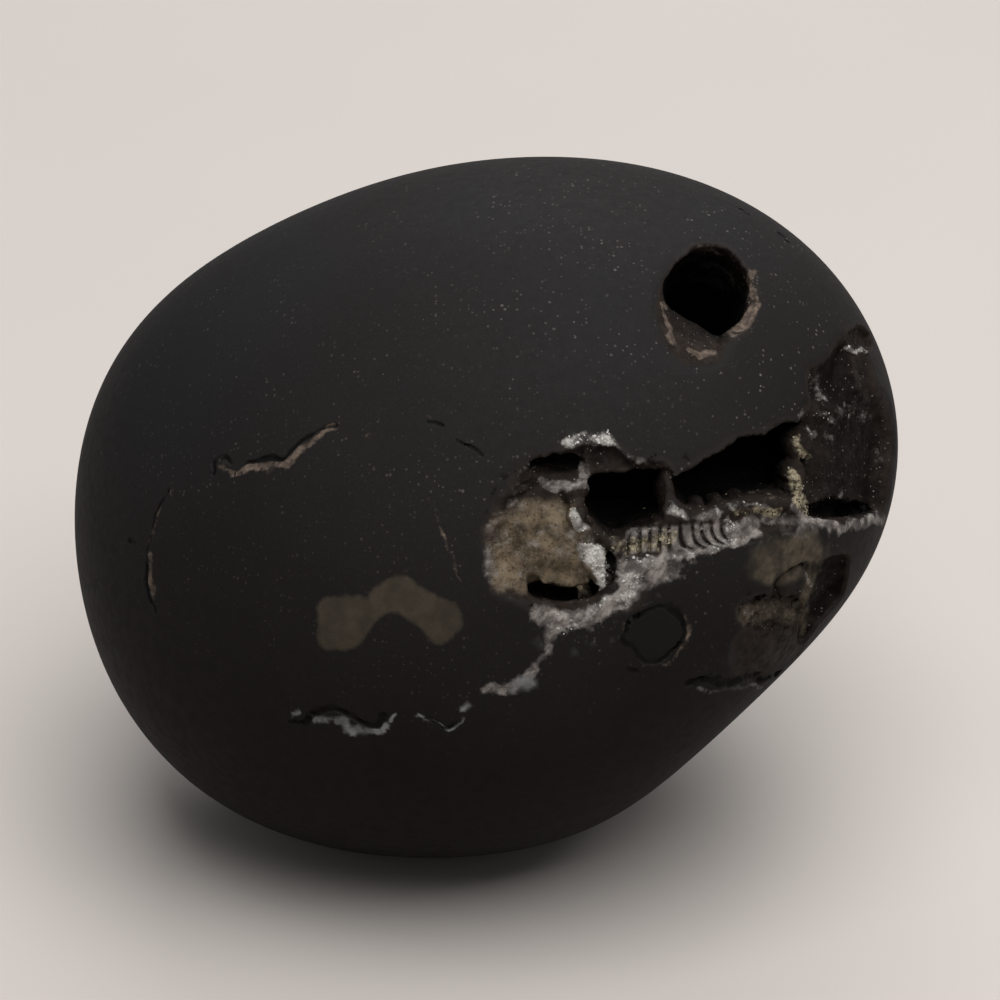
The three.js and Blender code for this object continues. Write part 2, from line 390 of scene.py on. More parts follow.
NEARLY_LEVEL = (0.0, -0.22, 0.97)
CHAMBER = [
    (0.9, -7.6), (0.1, -5.3), (-0.1, -2.1), (0.9, 0.3), (2.2, 2.1), (3.6, 3.7), (5.5, 4.4), (7.3, 4.6),
    (9.2, 3.4), (9.9, 0.8), (10.5, -1.6), (12.2, -4.2), (11.6, -5.8), (9.5, -8.1), (7.6, -9.0),
    (5.4, -9.0), (3.2, -8.5),
]
UPPER_LIP = [
    (5.6, 4.2), (7.2, 5.5), (9.4, 5.9), (11.2, 5.9), (12.8, 5.2), (13.8, 4.4), (16.8, 4.2), (17.2, 2.6),
    (14.0, 2.2), (9.0, 2.2),
]
TOP_POCKET = [
    (4.2, 3.6), (5.6, 4.4), (7.6, 4.5), (9.4, 4.0), (9.7, 2.8), (8.6, 1.9), (7.0, 1.8), (5.0, 2.3),
]
UNDER_GAP = [
    (3.5, -6.8), (4.0, -6.1), (4.8, -6.4), (5.4, -7.1), (6.4, -7.4), (7.6, -7.5), (8.8, -7.5),
    (9.5, -7.0), (9.3, -6.3), (9.8, -6.2), (10.6, -7.4), (10.1, -8.2), (8.2, -8.8), (6.8, -9.1),
    (4.9, -8.8), (3.7, -8.2),
]
SIDE_GAP = [
    (11.1, -4.4), (11.6, -4.0), (12.2, -4.6), (12.1, -5.8), (11.5, -7.0), (11.0, -6.8), (11.2, -5.6),
]
MAIN_HOLLOW = [
    (9.4, 2.9), (11.6, 3.2), (14.0, 3.3), (16.9, 3.5), (16.8, 2.0), (16.7, 0.2), (16.6, -1.2),
    (15.4, -2.3), (14.2, -2.8), (12.0, -3.4), (10.8, -2.8), (9.8, -1.5), (9.1, -0.6), (9.1, 1.2),
]
LONG_SLOT = [
    (17.4, 2.5), (18.3, 3.3), (21.2, 5.1), (23.9, 6.6), (26.1, 7.2), (28.4, 8.3), (29.8, 7.6),
    (29.8, 5.0), (30.2, 3.4), (29.6, 1.2), (28.6, 0.5), (26.4, 0.6), (24.0, 0.5), (21.7, -0.2),
    (20.2, -0.8), (18.8, -0.5), (17.6, 0.8),
]
RIB_TERRACE = [
    (10.8, -3.9), (12.6, -3.0), (14.6, -2.2), (17.0, -1.0), (21.0, -0.8), (24.7, 0.4), (28.2, 0.2),
    (29.6, -0.7), (29.0, -1.5), (27.0, -2.0), (24.0, -2.9), (22.0, -3.5), (20.0, -4.0), (17.0, -4.4),
    (14.0, -4.5), (12.0, -4.4),
]
SCAR = [
    (29.6, 5.6), (29.8, 8.0), (31.3, 10.0), (34.9, 10.8), (37.6, 11.6), (39.0, 10.6), (39.8, 8.7),
    (40.0, 6.1), (39.6, 3.6), (39.3, 1.2), (38.8, -0.3), (36.3, -0.9), (34.2, -1.1), (32.1, -1.0),
    (30.6, -0.4), (30.2, 2.0),
]
SCOOP = [
    (30.8, 13.0), (31.6, 13.8), (32.9, 14.5), (33.5, 15.5), (34.3, 16.4), (35.2, 16.4), (35.7, 15.0),
    (35.7, 13.2), (35.9, 10.4), (34.4, 9.4), (32.1, 9.6), (30.9, 11.0),
]
SIDE_GROOVE = [
    (36.1, 16.0), (36.9, 15.4), (37.7, 13.6), (38.0, 11.4), (37.2, 10.6), (36.4, 12.0), (36.0, 14.0),
]
NICK = [(35.0, 17.0), (36.6, 17.8), (37.6, 17.2), (38.0, 15.8), (37.0, 15.2), (35.8, 15.9)]
SCAR_POCKET = [
    (30.6, 0.0), (32.6, 0.8), (35.6, 1.1), (37.8, 0.8), (38.2, -0.3), (36.0, -0.8), (34.0, -1.1),
    (32.2, -0.9), (31.0, -0.4),
]
WEATHERED = [
    (11.4, -4.8), (15.0, -4.8), (15.2, -7.0), (13.8, -9.4), (11.6, -9.6), (9.0, -9.2), (6.6, -10.4),
    (5.6, -10.2), (4.0, -9.2), (5.8, -9.1), (9.6, -8.5), (11.1, -6.7),
]
FACET = [
    (27.2, -7.8), (27.7, -6.7), (29.4, -5.6), (31.5, -5.6), (31.8, -6.9), (31.2, -8.2), (30.4, -9.0),
    (27.9, -9.0),
]
ROUGH_RECESS = [
    (23.9, -9.4), (25.1, -8.5), (27.2, -8.4), (30.5, -8.7), (31.3, -9.9), (30.5, -11.6), (27.5, -11.9),
    (24.8, -11.4),
]
SMOOTH_SCAR = [
    (31.7, -5.5), (33.0, -4.8), (34.8, -4.6), (35.0, -6.5), (34.6, -8.6), (33.5, -9.9), (32.1, -11.3),
    (30.7, -13.2), (30.4, -12.1), (31.3, -9.9), (30.8, -8.9), (31.9, -7.2),
]
DULL_HOLLOW = [
    (24.8, -11.6), (27.5, -12.0), (30.4, -11.8), (30.2, -14.3), (27.4, -15.5), (25.7, -15.9),
    (23.9, -15.5), (23.5, -13.3),
]
DEEP_BORE = [
    (21.4, 25.4), (23.2, 24.9), (24.6, 23.4), (25.3, 21.4), (24.9, 19.4), (23.8, 18.1), (22.5, 17.9),
    (21.6, 18.8), (20.4, 19.7), (18.8, 20.3), (17.4, 20.9), (17.5, 22.2), (18.4, 23.7), (19.8, 25.0),
]
BORE_BEVEL = [
    (24.9, 22.2), (25.5, 21.4), (25.6, 19.9), (25.2, 18.2), (24.4, 16.9), (23.4, 16.5), (22.4, 16.6),
    (22.2, 18.0), (22.6, 20.0), (23.6, 21.4),
]
SIDE_BORE = [
    (16.8, 19.6), (16.7, 17.9), (17.4, 16.0), (18.0, 15.2), (19.1, 14.4), (20.2, 14.2), (21.4, 14.4),
    (22.1, 15.6), (22.5, 16.5), (22.5, 17.9), (22.4, 19.1), (21.0, 20.6), (18.4, 21.4), (17.2, 20.9),
]

HOLLOWS = [
    Hollow(CHAMBER, 1.9, (0, -0.05, 1), bowl=3.4, rough=0.42, rim=1.1),
    Hollow(UPPER_LIP, 0.9, (0, 0.1, 1), bowl=0.8, rough=0.55),
    Hollow(TOP_POCKET, 3.8, (0.35, -0.6, 0.72), bowl=1.8, rough=0.3, rim=0.5),
    Hollow(UNDER_GAP, 4.6, (0, -0.1, 1), bowl=1.4, rough=0.3),
    Hollow(SIDE_GAP, 3.5, (0.1, 0, 1), bowl=0.8, rough=0.3),
    Hollow(MAIN_HOLLOW, 11.0, (0.05, -0.3, 0.95), bowl=4.0, rough=0.5, rim=0.4),
    Hollow(LONG_SLOT, 9.5, NEARLY_LEVEL, bowl=3.0, rough=0.5),
    Hollow(RIB_TERRACE, 0.85, (0, 0.1, 1), bowl=1.2, rough=0.25, rim=0.5),
    Hollow(SCAR, 2.6, (0.6, 0.1, 0.8), bowl=4.0, coarse=1.4, rough=0.4, rim=1.4, bedded=True),
    Hollow(SCOOP, 2.2, (0.5, 0.35, 0.8), bowl=3.0, coarse=1.4, rough=0.2, rim=0.9, bedded=True),
    Hollow(SIDE_GROOVE, 0.8, (0.7, 0.3, 0.7), bowl=0.8, rough=0.3, rim=0.6, bedded=True),
    Hollow(NICK, 0.8, (0.7, 0.4, 0.6), bowl=0.6, rough=0.4, bedded=True),
    Hollow(SCAR_POCKET, 4.2, (0.4, 0.05, 0.9), bowl=1.2, coarse=0.8, rough=0.6, rim=0.4),
    Hollow(WEATHERED, 0.34, (0, -0.2, 1), bowl=0.5, coarse=1.1, rough=0.7, rim=0.5),
    Hollow(FACET, 1.2, (0.3, -0.45, 0.85), bowl=0.5, rough=0.2, rim=0.15),
    Hollow(ROUGH_RECESS, 1.0, (0.5, -0.3, 0.85), bowl=0.8, coarse=0.6, rough=0.9, rim=0.2),
    Hollow(SMOOTH_SCAR, 1.7, (0.7, -0.3, 0.7), bowl=1.8, rough=0.15, rim=0.3, bedded=True),
    Hollow(DULL_HOLLOW, 0.16, (0.5, -0.4, 0.8), bowl=0.8, coarse=1.0, rough=0.2, rim=1.0, bedded=True),
    Hollow(DEEP_BORE, 15.0, (0.15, 0.36, 0.92), bowl=3.6, rough=0.3, rim=0.3),
    Hollow(SIDE_BORE, 8.5, (-0.1, -0.45, 0.88), bowl=3.0, rough=0.12, rim=1.7),
    Hollow(BORE_BEVEL, 0.7, (0.2, -0.1, 1), bowl=0.5, rough=0.12, rim=0.2),
]

LUMPS = [
    Lump(4.6, -0.8, 2.4, (3.6, 2.6, 1.2), rough=0.35),
    Lump(6.6, -3.6, 2.2, (4.0, 2.6, 1.4), rough=0.35),
    Lump(3.8, -5.2, 2.4, (2.6, 2.4, 1.2), rough=0.35),
    Lump(8.3, 1.9, 1.9, (1.4, 1.2, 1.0), turn=20),
    Lump(8.5, -0.6, 1.6, (1.0, 1.4, 1.6), rough=0.5),
    Lump(9.3, -3.1, 1.3, (1.1, 1.2, 1.6), rough=0.5),
    Lump(10.0, -4.9, 1.1, (1.2, 1.4, 1.5), rough=0.5),
    Lump(10.5, -6.3, 1.4, (0.6, 0.9, 1.2), rough=0.4),
    Lump(17.1, 1.7, 2.3, (0.42, 2.6, 2.0), turn=4),
    Lump(18.3, -0.6, 1.7, (1.5, 1.0, 1.4), rough=0.5),
    Lump(17.8, -0.1, 1.3, (0.9, 0.8, 0.9), rough=0.5),
    Lump(20.6, -0.7, 1.8, (1.8, 0.9, 1.4), rough=0.5),
    Lump(21.4, -0.7, 1.2, (0.8, 0.6, 0.9), rough=0.4),
    Lump(24.4, 0.0, 1.8, (2.4, 0.9, 1.5), turn=8, rough=0.55),
    Lump(25.6, -0.2, 1.2, (1.8, 0.5, 0.9), turn=10, rough=0.4),
    Lump(27.6, 0.2, 1.8, (1.8, 0.9, 1.4), rough=0.5),
    Lump(20.9, 0.5, 3.0, (0.7, 0.7, 1.2), rough=0.3),
    Lump(22.9, 0.7, 3.2, (0.8, 0.8, 1.2), rough=0.3),
    Lump(25.0, 1.1, 3.2, (0.7, 0.9, 1.2), rough=0.3),
    Lump(31.6, 6.6, 2.9, (1.6, 1.7, 1.6), rough=0.5),
    Lump(31.0, 2.6, 3.2, (1.2, 2.2, 2.0), turn=-12, rough=0.55),
    Lump(34.2, 4.2, 3.8, (2.6, 2.6, 1.6), rough=0.3),
    Lump(33.8, 9.6, 3.0, (3.4, 1.0, 1.6), turn=8, rough=0.3, join=1.2),
    Lump(8.3, 1.5, 2.6, (1.6, 0.9, 1.6), turn=25, rough=0.2),
    Lump(30.9, -9.4, 1.0, (0.7, 1.6, 1.0), rough=0.3),
    Lump(29.6, -7.2, 0.9, (2.1, 1.6, 0.8), turn=-15, rough=0.5, join=0.2),
    Lump(7.4, -10.5, 0.45, (1.9, 0.4, 0.6), turn=12, rough=0.3),
    Lump(10.8, -9.4, 0.4, (2.0, 0.45, 0.6), turn=28, rough=0.3),
    Lump(12.4, -7.6, 0.4, (1.8, 0.5, 0.6), turn=48, rough=0.3),
    Lump(14.2, -6.2, 0.4, (1.6, 0.45, 0.6), turn=30, rough=0.3),
]

DISC = [
    (16.2, -9.1), (17.7, -9.7), (18.5, -10.9), (18.7, -11.8), (17.8, -12.9), (16.9, -14.0), (15.5, -14.5),
    (14.5, -14.0), (13.8, -13.1), (12.9, -12.5), (13.1, -11.4), (13.7, -10.4), (14.8, -9.7),
]
TAN_CRACK = [
    (-26.3, 3.2), (-26.1, 4.3), (-25.0, 4.8), (-23.9, 4.1), (-22.4, 4.3), (-21.0, 4.8), (-19.5, 4.7),
    (-18.2, 5.8), (-16.6, 7.2), (-15.0, 7.7), (-14.2, 7.7),
]
LOWER_CRACK = [
    (-18.9, -20.4), (-17.6, -20.3), (-16.5, -19.5), (-14.7, -19.1), (-13.2, -19.5), (-11.9, -20.4),
    (-10.6, -20.6), (-9.8, -19.5),
]
LOWER_CRACK_END = [(-5.8, -19.8), (-4.8, -20.4), (-3.8, -20.8), (-2.9, -20.4)]
LEFT_CRACK = [(-30.6, 1.7), (-31.4, 0.4), (-32.3, -1.6), (-32.8, -4.4), (-32.9, -5.6)]
LEFT_CRACK_END = [(-32.9, -5.6), (-33.0, -7.0), (-32.7, -8.4), (-32.1, -9.8)]
BOTTOM_CRACK = [
    (19.3, -16.6), (21.1, -16.2), (22.4, -16.6), (23.7, -16.7), (25.0, -16.2), (26.4, -16.6),
    (28.2, -16.2),
]
SMALL_CRACK = [(-5.6, 8.3), (-4.9, 8.0), (-4.2, 7.9)]
SMALL_CRACK_END = [(-2.8, 6.3), (-1.7, 5.8), (-0.5, 5.1)]
SCRATCH = [(-5.0, 1.0), (-4.1, -1.9), (-3.5, -4.0), (-2.7, -6.6)]
PLATE_TOP = [(28.2, -7.3), (28.8, -6.4), (30.0, -5.5), (31.3, -5.3)]
PLATE_SIDE = [(31.7, -5.6), (31.7, -7.2), (31.2, -8.8), (31.1, -10.2), (30.7, -12.0)]
PITS = [
    (24.7, 29.4), (25.4, 28.9), (28.8, 26.8), (29.4, 26.1), (1.3, -7.0), (13.6, -15.3), (-34.4, -3.2),
]
CRUMBLED = [[(27.3, -9.9), (28.4, -10.2)], [(28.6, -10.2), (29.8, -10.5)], [(26.2, -8.7), (26.9, -9.6)],
            [(30.8, -8.9), (31.0, -10.0), (30.3, -10.9)], [(25.0, -10.9), (26.2, -10.4)]]

# Plain healed cracks on the back, which the photo doesn't show
BACK_CRACK = [(-12.0, 9.0), (-7.5, 7.0), (-4.0, 7.6), (1.0, 4.6), (4.0, 4.9)]
LOW_BACK_CRACK = [(14.0, -6.0), (17.0, -7.6), (19.0, -7.2), (22.0, -9.6)]

GROOVES = {
    "disc": Groove(DISC, 0.48, 0.55, closed=True, ragged=0.35, steps=3),
    "tan crack": Groove(TAN_CRACK, 0.32, 0.42, ragged=0.25),
    "lower crack": Groove(LOWER_CRACK, 0.52, 0.9, ragged=0.25),
    "lower crack end": Groove(LOWER_CRACK_END, 0.34, 0.4, ragged=0.2),
    "left crack": Groove(LEFT_CRACK, 0.24, 0.2, ragged=0.3),
    "left crack end": Groove(LEFT_CRACK_END, 0.42, 0.55, ragged=0.2),
    "bottom crack": Groove(BOTTOM_CRACK, 0.85, 1.7, ragged=0.3),
    "plate top": Groove(PLATE_TOP, 0.42, 0.7, ragged=0.2),
    "plate side": Groove(PLATE_SIDE, 0.5, 0.8, ragged=0.2),
    "small crack": Groove(SMALL_CRACK, 0.3, 0.3, ragged=0.2),
    "small crack end": Groove(SMALL_CRACK_END, 0.26, 0.3, ragged=0.15),
    "scratch": Groove(SCRATCH, 0.14, 0.05, ragged=0.1, shadow=False),
    "back crack": Groove(BACK_CRACK, 0.24, 0.16, ragged=0.4, side=-1),
    "low back crack": Groove(LOW_BACK_CRACK, 0.22, 0.14, ragged=0.3, side=-1),
}
for number, (u, v) in enumerate(PITS):
    ends = [(u - 0.25, v + 0.1), (u + 0.25, v - 0.1)]
    GROOVES[f"pit {number}"] = Groove(ends, width=0.48, depth=0.36, ragged=0.3)
for number, places in enumerate(CRUMBLED):
    GROOVES[f"crumbled rock {number}"] = Groove(places, width=0.44, depth=0.75, ragged=0.35)

# The white crust stands out a little from what it grew on
CRUST_HEIGHT = 0.07
CRUST_RELIEF = 0.17
CRUST_LUMPS = 0.55
CRUST_MIDDLE = 20.0
CRUST_HALF_WIDTH = 21.0

# The ribs of the ammonite, along the terrace under the slot. The furrows between them are narrow at the
# top and broad at the bottom, and those on the right sweep outward.
RIB_PITCH = 0.98
RIB_HEIGHT = 0.28
RIB_LENGTH = 2.1
RIBS_FROM = 12.6
RIBS_TO = 23.6
RIBS_FADE_IN = 0.8
RIBS_FADE_OUT = 2.5
RIB_TOPS = -3.3
RIB_TOPS_CLIMB = 0.08
RIB_WAVER = 0.2
RIB_WAVER_SIZE = 1.6
RIB_SWEEP = 1.7
SWEEP_FROM = 16.0
SWEEP_FULL = 21.0
FURROW_AT_TOP = 4.6
FURROW_AT_BOTTOM = 2.2
CREST_LEVEL = 0.4


def rib_tops(u):
    """The height up the face of the line along which the ribs begin."""
    return RIB_TOPS + RIB_TOPS_CLIMB * u


def rib_shape(points):
    """How fully points lie among the ribs, and the wave of crests and furrows, from 1 to -1."""
    u = points @ RIGHT
    fall = (rib_tops(u) - points @ UP) / RIB_LENGTH
    down = np.clip(fall, 0.0, 0.98)
    sweep = RIB_SWEEP * ramp(u, SWEEP_FROM, SWEEP_FULL) * (1 - np.sqrt(1 - down * down))
    phase = (u - sweep) / RIB_PITCH + RIB_WAVER * noise(points, RIB_WAVER_SIZE, shift=7)
    sharpness = FURROW_AT_TOP + (FURROW_AT_BOTTOM - FURROW_AT_TOP) * down
    furrow = ((1 - np.cos(2 * math.pi * phase)) / 2) ** sharpness
    along = ramp(u, RIBS_FROM, RIBS_FROM + RIBS_FADE_IN) * (1 - ramp(u, RIBS_TO - RIBS_FADE_OUT, RIBS_TO))
    window = along * ramp(fall, -0.4, 0.2) * (1 - ramp(fall, 0.75, 1.15))
    return window, 1 - 2 * furrow


def ribs(points):
    """How far the ribs stand out at points."""
    window, crest = rib_shape(points)
    return RIB_HEIGHT * window * (crest - CREST_LEVEL)


def near_ribs(points):
    u = points @ RIGHT
    fall = rib_tops(u) - points @ UP
    beside = (u > RIBS_FROM) & (u < RIBS_TO) & (points @ OUT > 15)
    return beside & (fall > -0.6) & (fall < RIB_LENGTH + 0.4)


# The colours of the broken face: lines (u, v), how far a colour reaches from them, and its strength

CRUST = [
    ([(8.1, -0.4), (8.8, -1.7)], 0.9, 0.95),
    ([(8.9, -3.8), (10.4, -3.8)], 0.9, 0.95),
    ([(9.3, -4.6), (10.3, -5.6), (10.6, -6.9)], 1.1, 1.0),
    ([(10.4, -3.8), (10.9, -5.0), (11.0, -6.2)], 0.9, 1.0),
    ([(8.0, 6.2), (9.8, 6.6), (11.4, 6.3)], 1.2, 0.72),
    ([(11.6, 6.7), (12.8, 5.8), (13.2, 4.9), (14.6, 4.0)], 0.6, 0.38),
    ([(3.0, 3.1), (4.2, 4.0)], 0.5, 0.5),
    ([(6.0, 2.1), (7.6, 1.6), (8.9, 2.3)], 0.6, 0.4),
    ([(4.0, -9.5), (5.4, -9.9), (7.0, -10.0)], 0.8, 0.42),
    ([(7.4, -10.2), (9.6, -9.6), (11.4, -8.6)], 0.9, 0.5),
    ([(5.8, -10.6), (7.0, -11.4), (8.6, -10.9)], 0.8, 0.5),
    ([(12.0, -4.5), (13.6, -4.9), (16.2, -5.0)], 0.7, 0.48),
    ([(16.8, -4.6), (19.6, -4.5), (21.9, -3.7), (23.4, -3.0)], 0.8, 0.42),
    ([(13.8, -6.8), (13.0, -8.2)], 1.1, 0.54),
    ([(17.0, 0.3), (17.8, -0.4), (18.4, -0.9)], 0.9, 0.5),
    ([(21.8, -0.7), (22.4, -1.1), (22.9, -1.6)], 0.9, 0.55),
    ([(23.0, 0.1), (24.6, 0.6), (26.6, 0.2)], 0.6, 0.42),
    ([(34.6, -1.4), (36.4, -1.1), (38.8, -0.6)], 0.8, 0.42),
    ([(29.6, 9.0), (30.6, 8.6), (31.4, 9.0)], 0.9, 0.42),
    ([(32.2, 8.8), (33.4, 8.4)], 0.8, 0.46),
    ([(31.0, 13.0), (31.6, 11.6), (32.4, 10.6)], 1.0, 0.36),
    ([(33.6, 9.2), (35.4, 9.4), (37.2, 8.8)], 1.4, 0.34),
    ([(38.4, 6.0), (38.8, 4.6), (38.5, 3.0)], 0.8, 0.32),
    ([(30.6, 7.2), (32.2, 7.0), (33.4, 6.2)], 0.8, 0.44),
    ([(32.6, 1.6), (33.2, 0.2)], 0.8, 0.4),
    ([(34.2, 1.8), (34.5, 0.4)], 0.6, 0.36),
    ([(36.0, 1.7), (36.1, 0.7)], 0.5, 0.32),
    ([(35.0, 15.5), (35.8, 15.2), (36.8, 15.4)], 0.5, 0.5),
    ([(24.6, -9.8), (26.6, -9.2)], 1.0, 0.29),
    ([(27.8, -9.8), (30.2, -10.4)], 0.9, 0.28),
    ([(30.4, -6.2), (31.0, -7.4)], 0.6, 0.36),
]
GOLD = [
    ([(12.6, -3.7), (14.4, -3.4), (16.6, -2.9)], 1.7, 0.8),
    ([(23.5, -0.3), (25.4, -0.2), (27.6, -0.3)], 1.1, 0.7),
    ([(20.6, 1.2), (24.0, 1.4), (27.6, 1.8)], 1.4, 0.35),
    ([(29.3, 6.6), (29.8, 5.6), (30.5, 4.8)], 0.8, 1.0),
    ([(28.8, 3.3), (29.4, 1.8), (30.2, 0.0)], 0.9, 1.0),
    ([(15.2, 0.4), (15.8, -1.2)], 1.0, 0.4),
]
OLIVE = [
    ([(27.0, -5.2), (28.8, -4.7), (30.6, -4.2)], 3.4, 1.15),
    ([(24.6, -10.0), (27.0, -9.8), (30.2, -10.2)], 1.8, 1.0),
    ([(31.0, -6.2), (30.8, -7.8), (30.4, -9.2)], 0.9, 1.0),
    ([(30.7, -10.2), (30.3, -12.2)], 0.6, 1.0),
    ([(25.6, -13.2), (28.4, -13.6)], 1.8, 0.35),
    ([(28.6, -7.2), (29.6, -6.6)], 1.2, 0.3),
]
TAN = [
    ([(25.1, 22.8), (25.4, 21.4), (25.4, 20.2)], 0.5, 1.0),
    ([(25.4, 19.6), (24.7, 17.9), (23.4, 17.1), (22.5, 17.1)], 0.95, 1.0),
    ([(18.9, 14.8), (20.2, 14.6), (21.4, 14.9)], 0.4, 0.95),
    ([(16.9, 19.4), (16.8, 17.8), (17.4, 16.0)], 0.7, 0.75),
    ([(20.4, 24.7), (21.6, 24.8), (22.8, 24.4)], 0.5, 0.7),
    ([(-25.4, 3.9), (-23.4, 3.5), (-20.9, 4.0), (-19.2, 4.4), (-18.0, 5.2)], 0.62, 1.0),
    ([(-18.0, 5.2), (-16.4, 6.5), (-14.4, 7.4)], 0.62, 1.0),
    ([(-13.4, 7.0), (-11.4, 6.9)], 0.45, 0.4),
    ([(-5.6, 8.6), (-4.2, 7.6)], 0.5, 0.36),
    ([(-30.6, 2.0), (-29.8, 0.8)], 0.4, 0.5),
    ([(-31.4, 0.0), (-32.1, -1.8), (-32.5, -4.2)], 0.35, 0.5),
    ([(-32.5, -4.6), (-32.4, -6.6), (-32.1, -8.4)], 0.6, 0.95),
    (SCRATCH, 0.3, 0.5),
    ([(18.9, -10.2), (18.9, -12.2), (17.6, -14.0), (15.8, -14.9)], 0.5, 0.6),
    ([(12.9, -10.6), (12.5, -12.2)], 0.5, 0.5),
]
BLUE = [
    ([(-16.6, -20.3), (-14.8, -20.0), (-13.2, -20.7)], 0.55, 0.6),
    ([(-13.4, -20.7), (-12.2, -21.2), (-10.7, -21.3), (-9.6, -20.2), (-9.2, -19.4)], 0.4, 1.0),
    ([(-18.6, -19.9), (-17.9, -19.5)], 0.3, 0.8),
    ([(-7.4, -19.4), (-6.1, -19.6), (-4.8, -20.2), (-3.8, -20.6), (-2.8, -20.2), (-2.4, -19.0)], 0.36, 0.9),
    ([(2.2, -16.9), (3.4, -16.5), (4.2, -16.2)], 0.9, 0.9),
    ([(20.0, -17.3), (23.6, -17.5), (27.0, -17.3)], 0.4, 0.5),
]
VEIN = [
    ([(6.6, -10.6), (5.9, -11.4), (5.8, -12.6), (5.5, -13.9)], 0.95, 0.95),
    ([(5.5, -13.8), (4.6, -15.3), (3.3, -16.6), (1.2, -17.2), (-0.4, -17.5)], 0.75, 0.95),
    ([(-10.6, -20.3), (-9.6, -19.4), (-8.4, -19.2)], 0.35, 0.3),
    ([(-2.4, -19.2), (-1.9, -17.2)], 0.3, 0.3),
]
GREY_SHELL_AND_BOUNCE_LIGHT = [
    ([(16.6, -4.6), (20.0, -4.2), (22.4, -3.4), (25.6, -2.7)], 0.9, 1.0),
    ([(10.2, -3.2), (12.4, -3.2), (15.8, -1.6)], 1.0, 0.4),
    ([(4.4, -9.5), (7.0, -10.5), (9.6, -10.0), (12.4, -8.6), (14.4, -6.8)], 1.5, 1.0),
    ([(12.2, -5.4), (13.8, -6.0), (16.4, -5.4)], 1.6, 1.0),
    ([(13.2, -7.6), (15.2, -6.6), (17.6, -5.8)], 1.8, 0.9),
    ([(17.0, -6.2), (19.4, -5.4)], 1.6, 0.45),
    ([(10.6, -10.8), (13.2, -9.4)], 1.6, 0.45),
    ([(5.2, 2.3), (6.8, 1.9), (8.4, 1.9), (9.3, 2.7), (9.4, 3.8)], 1.0, 1.0),
    ([(7.6, 6.1), (9.6, 6.5), (12.0, 6.2), (13.6, 4.8), (15.4, 3.9)], 0.9, 0.5),
    ([(12.4, -3.6), (16.0, -3.6), (18.0, -3.6)], 1.2, 0.65),
    ([(16.8, 0.0), (18.8, -1.0), (21.2, -1.0)], 1.0, 0.75),
    ([(17.4, -3.2), (20.0, -2.8), (22.6, -2.2), (25.0, -1.8)], 1.7, 1.0),
    ([(25.0, -1.4), (28.0, -1.0), (30.4, -1.4)], 1.3, 0.55),
    ([(28.4, -1.8), (30.4, -2.6)], 1.6, 0.45),
    ([(29.4, 0.0), (30.6, -0.9), (32.4, -1.6), (35.0, -1.7), (38.8, -0.8)], 0.85, 1.0),
    ([(31.0, -2.2), (33.2, -2.5)], 0.9, 0.4),
    ([(0.6, -6.4), (0.4, -3.6), (1.3, -0.4), (2.8, 1.9)], 1.3, 0.5),
    ([(9.0, -1.8), (9.6, -3.2)], 1.0, 0.8),
    # Painted light bounced onto the upper wall of the mouth's deep bore
    ([(20.2, 22.3), (21.6, 22.8), (23.0, 22.2)], 1.8, 0.9),
    ([(16.8, 19.2), (16.7, 17.8), (17.3, 16.1)], 0.5, 0.6),
]


# Dark smooth rock in the scars, the scar's pocket and the upper lip, and painted shade in the mouth's side
# bore
DARK_ROCK_AND_SHADE = [
    ([(33.4, 12.6), (35.0, 9.0), (35.4, 5.0), (35.2, 2.0)], 5.0, 1.0),
    ([(32.6, 0.6), (34.6, -0.4), (37.6, 0.0)], 1.3, 1.0),
    ([(33.2, -5.6), (32.8, -8.2), (31.6, -11.0)], 2.8, 1.0),
    ([(9.8, 5.0), (12.4, 4.6), (15.4, 3.4)], 1.2, 0.8),
    # Painted shade on the side bore's floor, growing towards the deep bore
    ([(17.4, 21.2), (19.4, 20.2), (21.2, 19.0), (22.4, 17.2)], 2.4, 0.9),
]
# Painted shadows in the cavities: the mouth, the scar's pocket, the gap under the chamber, the top pocket and
# the long slot
PAINTED_SHADOWS = [
    ([(17.8, 21.6), (20.0, 20.6), (21.8, 19.2), (22.8, 17.4)], 2.1, 0.8),
    ([(32.4, 0.2), (34.6, 0.0), (37.2, 0.1)], 1.1, 0.8),
    ([(4.6, -7.6), (7.0, -8.2), (9.2, -8.0)], 0.8, 0.6),
    ([(5.0, 3.9), (6.4, 3.9), (8.2, 3.8)], 1.1, 0.8),
    ([(19.6, 1.0), (22.6, 1.5), (25.6, 2.1), (28.0, 2.6)], 1.3, 0.6),
]

# Outlines of what is colour all over
PATCH = [
    (-15.8, -8.8), (-12.6, -8.2), (-11.3, -8.3), (-10.3, -7.3), (-9.0, -6.3), (-7.5, -6.4), (-6.3, -7.4),
    (-4.5, -8.3), (-2.8, -9.1), (-2.3, -10.5), (-2.9, -11.8), (-4.3, -12.7), (-5.5, -12.3), (-6.5, -11.1),
    (-7.8, -10.2), (-9.0, -9.8), (-10.2, -10.5), (-11.2, -11.5), (-12.8, -13.3), (-15.6, -13.2),
    (-16.0, -11.6),
]
INFILL_EDGE = [
    (0.6, -6.4), (0.2, -4.4), (0.6, -1.8), (2.0, -0.2), (4.2, 0.4), (6.6, 0.4), (8.0, 0.2), (9.0, -1.8),
    (10.4, -4.4), (10.6, -6.6), (8.4, -7.6), (5.4, -7.2), (3.0, -7.6), (1.6, -7.6),
]

# The marks lie on the front alone: how far out of the face they fade in, and how far left they reach
FRONT_FROM = 6.0
FRONT_FULL = 10.0
FRONT_LEFT = -36.0
MARK_CORE = 0.2
MARK_SHAKES = ((1.9, 0.5, 4, 6), (0.6, 0.22, 5, 8))


